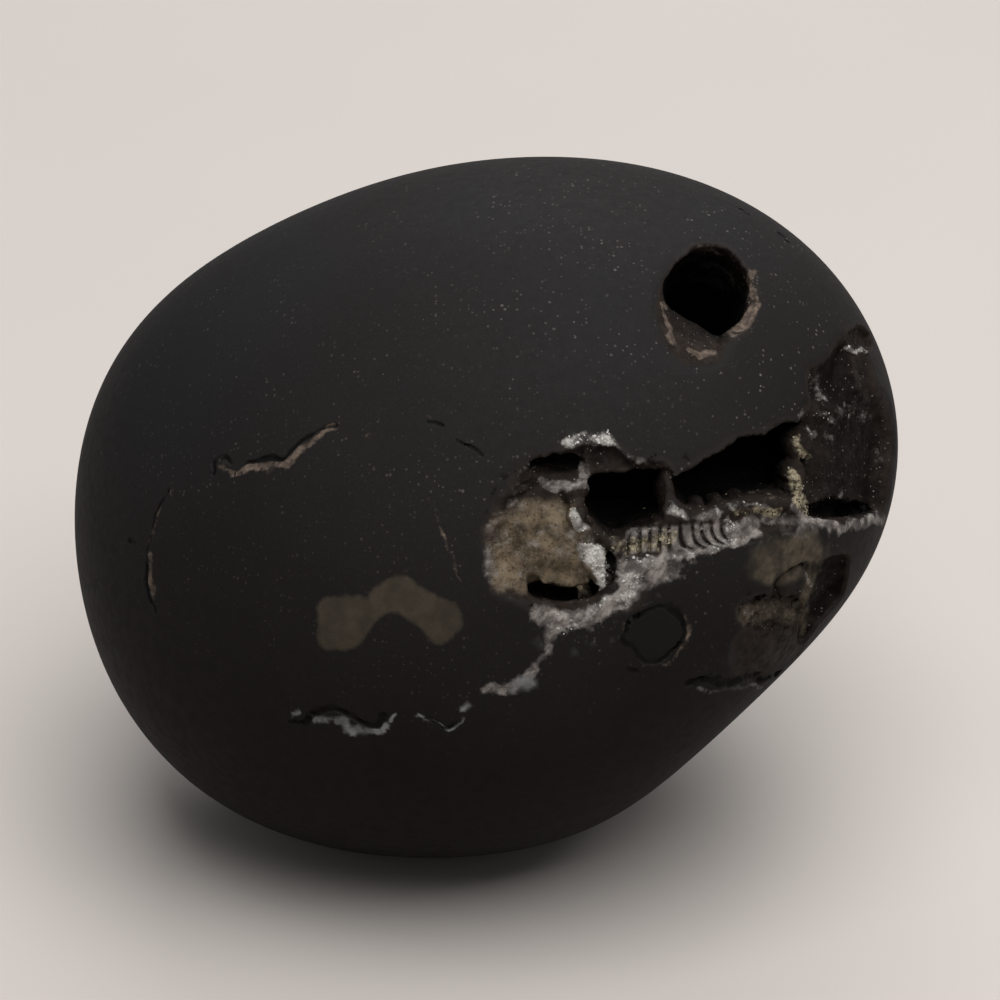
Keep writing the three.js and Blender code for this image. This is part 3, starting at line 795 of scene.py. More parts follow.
def stain(points, marks):
    """How strongly each point is coloured by marks, from 0 to 1, with uneven edges."""
    front = np.flatnonzero((points @ OUT > FRONT_FROM) & (points @ RIGHT > FRONT_LEFT))
    total = np.zeros(len(points))
    if len(front) == 0:
        return total
    face = points[front]
    flat = np.stack([face @ RIGHT, face @ UP], axis=1)
    for size, shake, *shifts in MARK_SHAKES:
        for axis, shift in enumerate(shifts):
            flat[:, axis] += shake * noise(face, size, shift)
    patchy = 0.8 + 0.45 * noise(face, 1.1, shift=12)
    strongest = np.zeros(len(face))
    for places, reach, strength in marks:
        line = smooth_line(places, closed=False)
        near = np.flatnonzero(np.all((flat > line.min(0) - reach) & (flat < line.max(0) + reach), axis=1))
        away = line_distance(flat[near], line)
        mark = strength * (1 - ramp(away, MARK_CORE * reach, reach))
        strongest[near] = np.maximum(strongest[near], mark)
    total[front] = np.clip(strongest * patchy, 0.0, 1.0) * ramp(face @ OUT, FRONT_FROM, FRONT_FULL)
    return total


def inside_outline(points, outline):
    """How many millimetres each point of the front lies inside an outline; negative outside it."""
    flat = np.stack([points @ RIGHT, points @ UP], axis=1)
    distance = outline_distance(flat, smooth_line(outline, closed=True))
    return np.where(points @ OUT > FRONT_FROM, -distance, -9.0)


# The finished stone as a field

FINE_RELIEF_REACH = 2.0
WORN_JOIN = 0.3


def near_crust(points):
    beside = np.abs(points @ RIGHT - CRUST_MIDDLE) < CRUST_HALF_WIDTH
    return beside & (points @ OUT > FRONT_FULL)


def field(points):
    """Negative inside the finished stone, positive outside it."""
    skin = above_skin(points)
    value = skin.copy()
    for hollow in HOLLOWS:
        near = np.flatnonzero(hollow.near(points, skin))
        if len(near):
            depth = hollow.distance(points[near], skin[near])
            value[near] = smooth_max(value[near], -depth, hollow.rim)
    for lump in LUMPS:
        near = np.flatnonzero(lump.near(points))
        if len(near):
            grown = smooth_min(value[near], lump.distance(points[near]), lump.join)
            value[near] = smooth_max(grown, skin[near], WORN_JOIN)
    close = np.abs(value) < FINE_RELIEF_REACH
    for groove in GROOVES.values():
        near = np.flatnonzero(close & groove.near(points))
        if len(near):
            value[near] += groove.relief(points[near])
    near = np.flatnonzero(close & near_ribs(points))
    if len(near):
        value[near] -= ribs(points[near])
    near = np.flatnonzero(close & near_crust(points))
    if len(near):
        height = CRUST_HEIGHT + CRUST_RELIEF * noise(points[near], CRUST_LUMPS, shift=14)
        value[near] -= stain(points[near], CRUST) * height
    return smooth_max(value, GROUND - points[:, 2], WORN_JOIN)


# Laying a mesh over the field

GRID_MARGIN = 2.0
FIRST_SETTLE = 0.6
REFINE_ROUNDS = 6
LONG_EDGE = 1.35
MARKING_ROUNDS = 4

# Where the mesh is made finer, in millimetres: below the skin, above the ground, beside rims and cracks
BROKEN_BELOW = -0.08
CLEAR_OF_GROUND = 0.5
RIM_REACH = 0.7
CRACK_REACH = 0.3
DEEP_BELOW = -4.5
RIBS_BELOW = -1.8

# Corners that stand out of the skin by more than this, with less crust than this, are drawn in
LOOSE_ABOVE = 0.02
BARE_OF_CRUST = 0.05


def cell_corners(grid, value, cell):
    """The middle of the places where the surface crosses each cell's edges, and which cells it crosses."""
    cells = np.array(value.shape) - 1
    place = np.zeros((*cells, 3))
    count = np.zeros(cells)
    for axis in range(3):
        lower = np.take(value, range(value.shape[axis] - 1), axis)
        upper = np.take(value, range(1, value.shape[axis]), axis)
        crossed = (lower < 0) != (upper < 0)
        share = np.where(crossed, lower / np.where(crossed, lower - upper, 1.0), 0.0)
        point = np.take(grid, range(grid.shape[axis] - 1), axis).copy()
        point[..., axis] += cell * share
        point *= crossed[..., None]
        others = [i for i in range(3) if i != axis]
        for shift in itertools.product((0, 1), repeat=2):
            window = [slice(None)] * 3
            for other, start in zip(others, shift):
                window[other] = slice(start, start + cells[other])
            place += point[tuple(window)]
            count += crossed[tuple(window)]
    return place / np.maximum(count, 1)[..., None], count > 0


def net_faces(inside, number):
    """A four-sided face round each grid edge that crosses the surface, facing outward."""
    faces = []
    for axis in range(3):
        order = (axis, (axis + 1) % 3, (axis + 2) % 3)
        index = number.transpose(order)
        lower = inside.transpose(order)[:-1, 1:-1, 1:-1]
        upper = inside.transpose(order)[1:, 1:-1, 1:-1]
        ring = (index[:, :-1, :-1], index[:, 1:, :-1], index[:, 1:, 1:], index[:, :-1, 1:])
        around = np.stack(ring, axis=-1)
        faces.append(around[lower & ~upper])
        faces.append(around[~lower & upper][:, ::-1])
    return np.concatenate(faces)


def surface_net(low, high, cell):
    """A closed net of four-sided faces over the surface, with one corner in each cell that it crosses."""
    axes = [np.arange(a, b + cell, cell) for a, b in zip(low, high)]
    grid = np.stack(np.meshgrid(*axes, indexing="ij"), axis=-1)
    value = field(grid.reshape(-1, 3)).reshape(grid.shape[:3])
    place, used = cell_corners(grid, value, cell)
    number = np.full(used.shape, -1)
    number[used] = np.arange(used.sum())
    return place[used], net_faces(value < 0, number)


def split_quads(corners, quads):
    """Each quad becomes two triangles, cut across its shorter diagonal."""
    first = np.linalg.norm(corners[quads[:, 0]] - corners[quads[:, 2]], axis=1)
    second = np.linalg.norm(corners[quads[:, 1]] - corners[quads[:, 3]], axis=1)
    one, other = quads[first <= second], quads[first > second]
    return np.concatenate([one[:, [0, 1, 2]], one[:, [0, 2, 3]], other[:, [0, 1, 3]], other[:, [1, 2, 3]]])


def slope(points, reach=0.04):
    """The field's value and its outward slope at points."""
    total = np.zeros(len(points))
    rise = np.zeros((len(points), 3))
    for signs in ((1, 1, 1), (1, -1, -1), (-1, 1, -1), (-1, -1, 1)):
        step = reach * np.array(signs, float)
        value = field(points + step)
        total += value
        rise += value[:, None] * np.array(signs) / (4 * reach)
    return total / 4, rise


def settle(points, furthest, rounds=2):
    """Moves points straight onto the surface, each by no more than a set distance a round.

    A point that would end further from the surface, as beside a sharp crack, stays where it was.
    """
    moved = points
    for _ in range(rounds):
        value, rise = slope(moved)
        step = -value[:, None] * rise / np.maximum(np.einsum("ij,ij->i", rise, rise), 0.25)[:, None]
        length = np.linalg.norm(step, axis=1)
        moved = moved + step * np.minimum(1.0, furthest / np.maximum(length, 1e-9))[:, None]
    closer = np.abs(field(moved)) < np.abs(field(points))
    return np.where(closer[:, None], moved, points)


def wanted_edge(points, sizes):
    """How long the mesh's edges may be: short in the broken face, and shortest on ribs and cracks."""
    skin = above_skin(points)
    edge = np.full(len(points), sizes.worn_edge / MM)
    broken = (skin < BROKEN_BELOW) & (points[:, 2] > GROUND + CLEAR_OF_GROUND)
    for hollow in HOLLOWS:
        near = np.flatnonzero(hollow.near(points, skin) & ~broken)
        rim = np.abs(outline_distance(hollow.flat(points[near]), hollow.outline)) < RIM_REACH
        broken[near[rim]] = True
    edge[broken] = sizes.broken_edge / MM
    edge[skin < DEEP_BELOW] = 2 * sizes.broken_edge / MM
    fine = near_ribs(points) & (skin > RIBS_BELOW)
    for groove in GROOVES.values():
        near = np.flatnonzero(groove.near(points))
        fine[near[groove.away(points[near]) < groove.width + CRACK_REACH]] = True
    edge[fine] = sizes.fine_edge / MM
    return edge


def refine(corners, triangles, sizes):
    """Splits every edge that is too long, so that triangles that share an edge still meet."""
    sides = np.sort(np.stack([triangles, np.roll(triangles, -1, axis=1)], axis=-1), axis=-1)
    edges, where = np.unique(sides.reshape(-1, 2), axis=0, return_inverse=True)
    where = where.reshape(-1, 3)
    length = np.linalg.norm(corners[edges[:, 0]] - corners[edges[:, 1]], axis=1)
    middle = (corners[edges[:, 0]] + corners[edges[:, 1]]) / 2
    long = length > LONG_EDGE * wanted_edge(middle, sizes)
    longest = where[np.arange(len(where)), length[where].argmax(axis=1)]
    for _ in range(MARKING_ROUNDS):
        long[longest[long[where].any(axis=1)]] = True
    fresh = np.full(len(edges), -1)
    fresh[long] = len(corners) + np.arange(long.sum())
    new = settle(middle[long], sizes.broken_edge / MM)
    cuts = long[where]
    pieces = [triangles[cuts.sum(axis=1) == 0]]

    def keep(chosen, *shapes):
        pieces.extend(np.stack(shape, axis=1)[chosen] for shape in shapes)

    for turn in range(3):
        a, b, c = np.roll(triangles, -turn, axis=1).T
        ab, bc, ca = np.roll(fresh[where], -turn, axis=1).T
        cut_ab, cut_bc, cut_ca = np.roll(cuts, -turn, axis=1).T
        keep(cut_ab & ~cut_bc & ~cut_ca, (a, ab, c), (ab, b, c))
        keep(cut_ab & cut_bc & ~cut_ca, (ab, b, bc), (a, ab, bc), (a, bc, c))
    a, b, c = triangles.T
    ab, bc, ca = fresh[where].T
    keep(cuts.all(axis=1), (a, ab, ca), (ab, b, bc), (ca, bc, c), (ab, bc, ca))
    return np.concatenate([corners, new]), np.concatenate(pieces), long.sum()


def draw_in(corners):
    """Nothing but the crust stands out of the worn skin: other corners are drawn back onto it."""
    out = above_skin(corners)
    loose = np.flatnonzero(out > LOOSE_ABOVE)
    loose = loose[stain(corners[loose], CRUST) < BARE_OF_CRUST]
    reach = np.linalg.norm(corners[loose], axis=1)
    corners[loose] *= (1 - out[loose] / reach)[:, None]
    return corners


def stone_mesh(sizes):
    """The stone's corners and triangles: a coarse net, made finer until no edge is too long."""
    reach = HALF_LENGTH + GRID_MARGIN
    low = np.array([-reach, -HALF_DEPTH - GRID_MARGIN, GROUND - GRID_MARGIN])
    high = np.array([reach, HALF_DEPTH + GRID_MARGIN, HALF_DEPTH + GRID_MARGIN])
    corners, quads = surface_net(low, high, sizes.worn_edge / MM)
    corners = settle(corners, FIRST_SETTLE * sizes.worn_edge / MM)
    triangles = split_quads(corners, quads)
    for _ in range(REFINE_ROUNDS):
        corners, triangles, split = refine(corners, triangles, sizes)
        if split == 0:
            break
    return draw_in(corners), triangles


# What the stone's material needs to know about each corner of its mesh

RIM_HALO = 1.3
RIM_SHALLOW = -1.5


def groove_shadows(points):
    """1 in the middle of each crack, 0 beside it."""
    seams = np.zeros(len(points))
    for groove in GROOVES.values():
        if groove.shadow:
            near = np.flatnonzero(groove.near(points))
            inside = 1 - ramp(groove.away(points[near]), 0.3 * groove.width, groove.width)
            seams[near] = np.maximum(seams[near], inside)
    return seams


def rim_halos(points, skin):
    """1 along the rims of the hollows, falling away on both sides."""
    edges = np.zeros(len(points))
    for hollow in HOLLOWS:
        near = np.flatnonzero(hollow.near(points, skin) & (skin > RIM_SHALLOW))
        away = np.abs(outline_distance(hollow.flat(points[near]), hollow.outline))
        edges[near] = np.maximum(edges[near], 1 - ramp(away, 0.0, RIM_HALO))
    return edges


def surface_masks(points):
    """One number for each corner of the mesh and each thing that the material asks about it."""
    skin = above_skin(points)
    rib_window, rib_crest = rib_shape(points)
    shallow = 1 - ramp(-skin, 1.0, 2.4)
    return {
        "depth": -skin,
        "edge": rim_halos(points, skin),
        "seam": groove_shadows(points),
        "ribs": rib_window * near_ribs(points),
        "crest": 0.5 + 0.5 * rib_crest,
        "patch": inside_outline(points, PATCH),
        "infill": inside_outline(points, INFILL_EDGE),
        "disc": inside_outline(points, DISC),
        "crust": stain(points, CRUST) * (1 - ramp(-skin, 2.2, 3.4)),
        "gold": stain(points, GOLD),
        "olive": stain(points, OLIVE),
        "tan": stain(points, TAN) * shallow,
        "blue": stain(points, BLUE) * shallow,
        "vein": stain(points, VEIN) * shallow,
        # Grey shell, and painted bounce light in the mouth's deep bore
        "grey": stain(points, GREY_SHELL_AND_BOUNCE_LIGHT),
        # Dark rock in the scars, and painted shade in the mouth
        "dark": stain(points, DARK_ROCK_AND_SHADE) * ramp(-skin, 0.15, 0.5),
        # Painted shadows in the cavities, below the skin only
        "painted_shadow": stain(points, PAINTED_SHADOWS) * ramp(-skin, 0.3, 1.0),
    }


# Sizes and colours that a user would change


def colour_value(name, description, default):
    return FloatVectorProperty(
        name=name, description=description, default=default, size=3, min=0.0, max=1.0, subtype="COLOR"
    )


def length_value(name, description, default):
    return FloatProperty(name=name, description=description, default=default, min=0.00005, unit="LENGTH")


def count_value(name, description, default):
    return IntProperty(name=name, description=description, default=default, min=1)


class StoneSizes(bpy.types.PropertyGroup):
    worn_edge: length_value("Worn edge", "Length of the mesh's edges on the smooth worn skin", 0.00095)
    broken_edge: length_value("Broken edge", "Length of the mesh's edges in the broken face", 0.00032)
    fine_edge: length_value("Fine edge", "Length of the mesh's edges on the ribs and cracks", 0.0002)
    grain_size: length_value("Crust grain", "Size of a grain of the white crust", 0.00017)
    crystal_size: length_value("Golden crystal", "Size of a golden crystal", 0.00024)
    grain_count: count_value("Crust grains", "How many grains the white crust has", 900)
    crystal_count: count_value("Golden crystals", "How many golden crystals there are", 260)


class StoneColours(bpy.types.PropertyGroup):
    stone: colour_value("Stone", "Worn black skin", (0.0056, 0.0051, 0.0050))
    bloom: colour_value("Bloom", "Faint blue-grey bloom on the worn skin", (0.0125, 0.0123, 0.0130))
    brown: colour_value("Brown stone", "Broken rock under the skin", (0.0105, 0.0075, 0.006))
    dust: colour_value("Dust", "Pale specks in the skin's pores", (0.17, 0.15, 0.135))
    patch: colour_value("Olive patch", "Smooth olive patch on the left of the face", (0.040, 0.0325, 0.023))
    # In the scars this is the rock's own dark colour; in the mouth's side bore it paints shade
    dark_rock_and_shade: colour_value("Dark rock", "Dark smooth rock in the scars and the mouth", (0.0050, 0.0031, 0.0025))
    infill: colour_value("Infill", "Hardened sediment in the first chamber", (0.122, 0.093, 0.061))
    infill_pale: colour_value("Pale infill", "Paler grey parts of the sediment", (0.17, 0.15, 0.13))
    # The weathered grey also paints light bounced onto the upper wall of the mouth's deep bore
    grey: colour_value("Weathered grey", "Weathered shell below the hollow", (0.175, 0.154, 0.141))
    crust: colour_value("Crust", "White calcite crust", (0.42, 0.395, 0.365))
    gold: colour_value("Gold", "Golden calcite on the ribs and ledges", (0.20, 0.17, 0.115))
    tan: colour_value("Tan", "Tan lining of the mouth and the long crack", (0.098, 0.074, 0.058))
    blue: colour_value("Blue grey", "Blue-grey mineral in the lower cracks", (0.16, 0.164, 0.164))
    disc: colour_value("Disc", "Smooth round disc below the ribs", (0.0062, 0.0058, 0.0056))


class StageLook(bpy.types.PropertyGroup):
    floor: colour_value("Floor", "Plain pale floor", (0.47, 0.43, 0.40))
    key_power: FloatProperty(
        name="Key light", description="Power of the large soft light", default=10.5, min=0.0, unit="POWER"
    )
    fill: FloatProperty(
        name="Fill", description="Brightness of the even light all round", default=0.22, min=0.0
    )


# Building materials from nodes

# The colour sockets of a Mix node, among those that it keeps for other kinds of value
MIX_FACTOR = 0
MIX_BELOW = 6
MIX_ABOVE = 7
MIX_RESULT = 2


def set_inputs(tree, node, values):
    """Gives a node its inputs: each is a plain value, or the output of another node to be linked."""
    for name, value in values.items():
        if isinstance(value, bpy.types.NodeSocket):
            tree.links.new(value, node.inputs[name])
        else:
            node.inputs[name].default_value = value
    return node


def add(tree, kind, inputs, **settings):
    node = tree.nodes.new(kind)
    for name, value in settings.items():
        setattr(node, name, value)
    return set_inputs(tree, node, inputs)


def math_node(tree, operation, *values):
    return add(tree, "ShaderNodeMath", dict(enumerate(values)), operation=operation).outputs[0]


def times(tree, first, *others):
    """The product of all the values."""
    for other in others:
        first = math_node(tree, "MULTIPLY", first, other)
    return first


def mix(tree, factor, below, above, blend="MIX"):
    """The colour above laid over the colour below where factor is 1."""
    values = {MIX_FACTOR: factor, MIX_BELOW: below, MIX_ABOVE: above}
    return add(tree, "ShaderNodeMix", values, data_type="RGBA", blend_type=blend).outputs[MIX_RESULT]


def span(tree, value, low, high, to_low=0.0, to_high=1.0):
    """Maps value from low..high to to_low..to_high along a smooth step."""
    values = {0: value, 1: low, 2: high, 3: to_low, 4: to_high}
    return add(tree, "ShaderNodeMapRange", values, interpolation_type="SMOOTHSTEP").outputs[0]


def noise_value(tree, place, scale, detail=3.0, roughness=0.6):
    values = {"Vector": place, "Scale": scale, "Detail": detail, "Roughness": roughness}
    return add(tree, "ShaderNodeTexNoise", values).outputs["Fac"]


def attribute(tree, name):
    return add(tree, "ShaderNodeAttribute", {}, attribute_name=name, attribute_type="GEOMETRY").outputs["Fac"]


def stretched(tree, place, rotation, scale):
    """The places seen through a turned and stretched grid, which draws textures out along it."""
    values = {"Vector": place, "Rotation": rotation, "Scale": scale}
    return add(tree, "ShaderNodeMapping", values, vector_type="TEXTURE").outputs[0]


def rgba(colour, share=1.0):
    return (*[share * part for part in colour], 1.0)


def new_group(name, inputs, output):
    """An empty node group with one output. inputs gives each socket's default, or None for a place."""
    tree = bpy.data.node_groups.new(name, "ShaderNodeTree")
    for label, default in inputs.items():
        kind = "NodeSocketVector" if default is None else "NodeSocketFloat"
        socket = tree.interface.new_socket(label, in_out="INPUT", socket_type=kind)
        if default is not None:
            socket.default_value = default
    tree.interface.new_socket(output, in_out="OUTPUT", socket_type="NodeSocketFloat")
    given = tree.nodes.new("NodeGroupInput").outputs
    result = tree.nodes.new("NodeGroupOutput").inputs[output]
    return tree, given, result


def ragged_edge_group():
    """A mask with an uneven, grainy edge, from a value that rises across that edge."""
    inputs = {"Grain": 0.5, "Value": 0.0, "Low": 0.4, "High": 0.6, "Break": 0.3}
    tree, given, result = new_group("Ragged edge", inputs, "Mask")
    shift = times(tree, math_node(tree, "SUBTRACT", given["Grain"], 0.5), given["Break"], 2.0)
    value = math_node(tree, "ADD", given["Value"], shift)
    tree.links.new(span(tree, value, given["Low"], given["High"]), result)
    return tree


def specks_group():
    """Scattered specks: a share of the cells of a Voronoi pattern hold one each."""
    inputs = {"Place": None, "Scale": 1500.0, "Share": 0.1, "Size": 0.3}
    tree, given, result = new_group("Specks", inputs, "Mask")
    cells = add(tree, "ShaderNodeTexVoronoi", {"Vector": given["Place"], "Scale": given["Scale"]})
    pick = add(tree, "ShaderNodeSeparateColor", {0: cells.outputs["Color"]}).outputs[0]
    chosen = math_node(tree, "LESS_THAN", pick, given["Share"])
    size = times(tree, given["Size"], math_node(tree, "DIVIDE", pick, given["Share"]))
    speck = math_node(tree, "LESS_THAN", cells.outputs["Distance"], size)
    tree.links.new(times(tree, chosen, speck), result)
    return tree


GRAIN_SCALES = {"Broad": 250.0, "Fine": 1600.0, "Tooth": 6000.0}


def grain_group():
    """The height of fine grain: broad waves, fine lumps and the finest tooth, for a Bump node."""
    inputs = {"Place": None, "Broad": 0.2, "Fine": 0.5, "Tooth": 0.3}
    tree, given, result = new_group("Grain", inputs, "Height")
    parts = [
        times(tree, noise_value(tree, given["Place"], scale), given[name])
        for name, scale in GRAIN_SCALES.items()
    ]
    broad, fine, tooth = parts
    total = math_node(tree, "ADD", math_node(tree, "ADD", broad, fine), tooth)
    tree.links.new(total, result)
    return tree


GROUPS = {"Ragged edge": ragged_edge_group, "Specks": specks_group, "Grain": grain_group}


def grouped(tree, name, values):
    """Places one of the shared node groups and gives its only output."""
    node = tree.nodes.new("ShaderNodeGroup")
    node.node_tree = bpy.data.node_groups.get(name) or GROUPS[name]()
    return set_inputs(tree, node, values).outputs[0]


def new_material(name):
    """A material with only its Principled shader: the node tree, the shader and object coordinates."""
    material = bpy.data.materials.new(name)
    material.use_nodes = True
    tree = material.node_tree
    shader = next(node for node in tree.nodes if node.type == "BSDF_PRINCIPLED")
    place = tree.nodes.new("ShaderNodeTexCoord").outputs["Object"]
    return material, tree, shader, place


def bump(tree, shader, height, distance):
    values = {"Height": height, "Distance": distance, "Strength": 1.0}
    tree.links.new(add(tree, "ShaderNodeBump", values).outputs["Normal"], shader.inputs["Normal"])


# The stone's material, one layer over the next

MASKS = (
    "depth", "edge", "seam", "ribs", "crest", "patch", "infill", "disc", "crust", "gold", "olive", "tan",
    "blue", "vein", "grey", "dark", "painted_shadow",
)
EDGE_GRAINS = {"coarse": 600.0, "medium": 1300.0, "fine": 2200.0}
STREAK_TURN = math.radians(45.0)
STREAK_STRETCH = 1.8


class StoneLayers:
    """What the layers share: the node tree, the masks, the way that the surface faces, and their tools.

    bedded is for textures drawn out into the stone, streaked for those that run down to the left.
    """

    def __init__(self, tree, place, colours):
        self.tree = tree
        self.place = place
        self.colours = colours
        self.mask = {name: attribute(tree, name) for name in MASKS}
        self.bedded = stretched(tree, place, (-FACE_LEAN, 0.0, 0.0), (1.0, BEDDING_STRETCH, 1.0))
        self.streaked = stretched(tree, place, (0.0, STREAK_TURN, 0.0), (1.0, 1.0, STREAK_STRETCH))
        self.edge_grain = {
            name: noise_value(tree, self.bedded, scale, detail=4.0, roughness=0.65)
            for name, scale in EDGE_GRAINS.items()
        }
        normal = add(tree, "ShaderNodeNewGeometry", {}).outputs["Normal"]
        self.upward = add(tree, "ShaderNodeSeparateXYZ", {0: normal}).outputs["Z"]
        self.rightward = add(tree, "ShaderNodeSeparateXYZ", {0: place}).outputs["X"]
        self.lifted = self.span(self.upward, -0.5, 0.8)
        self.flow = self.clouds(900.0, 0.4, 0.66, detail=4.0, roughness=0.68, place=self.streaked)
        self.shale = self.clouds(1400.0, 0.35, 0.7, detail=4.0)

    def span(self, *values):
        return span(self.tree, *values)

    def times(self, *values):
        return times(self.tree, *values)

    def clouds(self, scale, low, high, least=0.0, most=1.0, detail=3.0, roughness=0.6, place=None):
        """Noise from least to most, over the stone's own places or over drawn-out ones."""
        value = noise_value(self.tree, self.place if place is None else place, scale, detail, roughness)
        return self.span(value, low, high, least, most)

    def ragged(self, name, low, high, uneven, grain):
        """Where a mask has risen from low to high, with an edge that a grain makes uneven."""
        values = {"Grain": self.edge_grain[grain], "Value": self.mask[name], "Low": low, "High": high}
        return grouped(self.tree, "Ragged edge", {**values, "Break": uneven})

    def specks(self, scale, share, size):
        values = {"Place": self.place, "Scale": scale, "Share": share, "Size": size}
        return grouped(self.tree, "Specks", values)

    def lay(self, below, above, amount):
        return mix(self.tree, amount, below, above)

    def two_tone(self, tone, colour, least, most):
        """A colour from least to most of itself, as tone goes from 0 to 1."""
        return self.lay(rgba(colour, least), rgba(colour, most), tone)


def worn_skin(stone):
    """Near-black skin: painted shade makes it browner underneath, painted light greyer where it faces up;
    faint bloom in places.
    """
    stone_black, brown = stone.colours.stone, stone.colours.brown
    skin = stone.two_tone(stone.clouds(45.0, 0.38, 0.66), stone_black, 0.85, 1.5)
    skin = stone.lay(skin, rgba(brown, 0.65), stone.clouds(4000.0, 0.3, 0.8))
    # Painted shade with a brown reflected tint: browner and darker on faces that look down
    skin = stone.lay(skin, rgba(brown, 0.5), stone.span(stone.upward, -0.6, 0.5, 0.7, 0.0))
    # Painted top light: paler grey on faces that look up
    skin = stone.lay(skin, rgba(stone_black, 3.2), stone.times(stone.lifted, 0.42))
    salt = stone.clouds(3400.0, 0.52, 0.74, most=0.3, detail=4.0, roughness=0.75)
    skin = stone.lay(skin, rgba(stone_black, 5.5), stone.times(salt, stone.lifted))
    bloom = stone.clouds(26.0, 0.42, 0.64, most=0.5, detail=2.0)
    return stone.lay(skin, rgba(stone.colours.bloom), stone.times(bloom, stone.lifted))


# The specks of dust: the scale of their pattern, the share of its cells with a speck, its size, its strength
DUST_SPECKS = ((2600.0, 0.26, 0.4, 0.4), (1300.0, 0.26, 0.2, 0.55), (420.0, 0.2, 0.08, 0.7))


def dusty(stone, colour):
    """Pale dust lies in the pores that face up, most of it on the right."""
    drifts = stone.clouds(180.0, 0.42, 0.7, least=0.2)
    drifts = stone.times(drifts, stone.span(stone.rightward, -0.02, 0.025, 0.4, 1.0), stone.lifted)
    for scale, share, size, strength in DUST_SPECKS:
        amount = stone.times(stone.specks(scale, share, size), drifts, strength)
        colour = stone.lay(colour, rgba(stone.colours.dust), amount)
    return colour


def olive_patch(stone, colour):
    """The smooth olive patch, a stain in the skin."""
    shade = stone.clouds(500.0, 0.3, 0.75, 0.75, 1.2, detail=4.0)
    patch = mix(stone.tree, 1.0, rgba(stone.colours.patch), shade, "MULTIPLY")
    return stone.lay(colour, patch, stone.ragged("patch", -0.25, 0.3, 0.55, "coarse"))


def broken_rock(stone, colour):
    """Brown rock where the skin is broken, paler along the rims, darker and smoother in the scars, with
    painted shade in the mouth.
    """
    brown = stone.colours.brown
    tone = stone.clouds(900.0, 0.3, 0.72, detail=4.0, place=stone.bedded)
    rough = stone.two_tone(tone, brown, 0.8, 1.7)
    colour = stone.lay(colour, rough, stone.ragged("depth", 0.12, 0.35, 0.12, "medium"))
    rims = stone.times(stone.ragged("edge", 0.35, 1.0, 0.8, "coarse"), 0.25)
    colour = stone.lay(colour, rgba(brown, 2.6), rims)
    # Dark rock in the scars, and painted shade in the mouth's side bore
    colour = stone.lay(colour, rgba(stone.colours.dark_rock_and_shade), stone.ragged("dark", 0.1, 0.9, 0.3, "coarse"))
    glints = stone.times(stone.specks(3200.0, 0.3, 0.32), stone.span(stone.mask["depth"], 0.3, 0.8, 0.0, 0.6))
    colour = stone.lay(colour, rgba(stone.colours.grey), glints)
    return stone.lay(colour, rgba(stone.colours.disc), stone.ragged("disc", -0.1, 0.2, 0.3, "medium"))


def olive_rock(stone, colour):
    """The olive tint round the crumbly recess."""
    olive = stone.two_tone(stone.shale, stone.colours.patch, 1.1, 1.9)
    return stone.lay(colour, olive, stone.ragged("olive", 0.15, 1.0, 0.2, "medium"))


def grey_shell_and_painted_light(stone, colour):
    """Grey shell and veins, with streaks that run down to the left, and painted bounce light in the mouth's
    deep bore.
    """
    grey = stone.two_tone(stone.flow, stone.colours.grey, 0.38, 1.3)
    for name in ("grey", "vein"):
        colour = stone.lay(colour, grey, stone.ragged(name, 0.25, 0.75, 0.45, "medium"))
    return colour


def rib_colours(stone, colour):
    """Grey crests and brown furrows."""
    crest = stone.two_tone(stone.flow, stone.colours.grey, 0.5, 1.15)
    ribbed = stone.lay(rgba(stone.colours.brown, 1.6), crest, stone.ragged("crest", 0.1, 0.75, 0.25, "fine"))
    return stone.lay(colour, ribbed, stone.ragged("ribs", 0.2, 0.7, 0.35, "medium"))


def sediment(stone, colour):
    """The first chamber's fill: sandy, with paler and darker clouds and dark grit."""
    infill = stone.colours.infill
    sand = stone.two_tone(stone.clouds(260.0, 0.36, 0.62, detail=6.0, roughness=0.72), infill, 0.3, 1.2)
    veil = stone.clouds(900.0, 0.5, 0.74, most=0.8, detail=4.0, roughness=0.7)
    sand = stone.lay(sand, rgba(stone.colours.infill_pale), veil)
    sand = stone.lay(sand, rgba(infill, 0.3), stone.times(stone.specks(3000.0, 0.4, 0.5), 0.65))
    return stone.lay(colour, sand, stone.ragged("infill", -0.9, 1.0, 1.5, "coarse"))


def golden_calcite(stone, colour):
    golden = stone.two_tone(stone.clouds(2200.0, 0.36, 0.66), stone.colours.gold, 0.2, 1.6)
    return stone.lay(colour, golden, stone.ragged("gold", 0.3, 0.8, 0.45, "fine"))


def white_crust(stone, colour):
    chalk = stone.clouds(1500.0, 0.3, 0.66, detail=4.0, roughness=0.7)
    crust = stone.two_tone(chalk, stone.colours.crust, 0.3, 1.0)
    return stone.lay(colour, crust, stone.ragged("crust", 0.2, 0.75, 0.5, "medium"))


def crack_linings(stone, colour):
    """Tan and blue-grey minerals in the cracks and along the mouth's rim, and painted shade in the cracks'
    bottoms.
    """
    lining = stone.two_tone(stone.shale, stone.colours.tan, 0.5, 1.3)
    colour = stone.lay(colour, lining, stone.ragged("tan", 0.25, 0.7, 0.4, "fine"))
    colour = stone.lay(colour, rgba(stone.colours.blue), stone.ragged("blue", 0.15, 0.95, 0.25, "fine"))
    # Painted shade: the middle of each crack is darkened
    bottoms = stone.times(stone.ragged("seam", 0.25, 0.8, 0.3, "fine"), 0.88)
    return stone.lay(colour, rgba(stone.colours.stone, 0.35), bottoms)


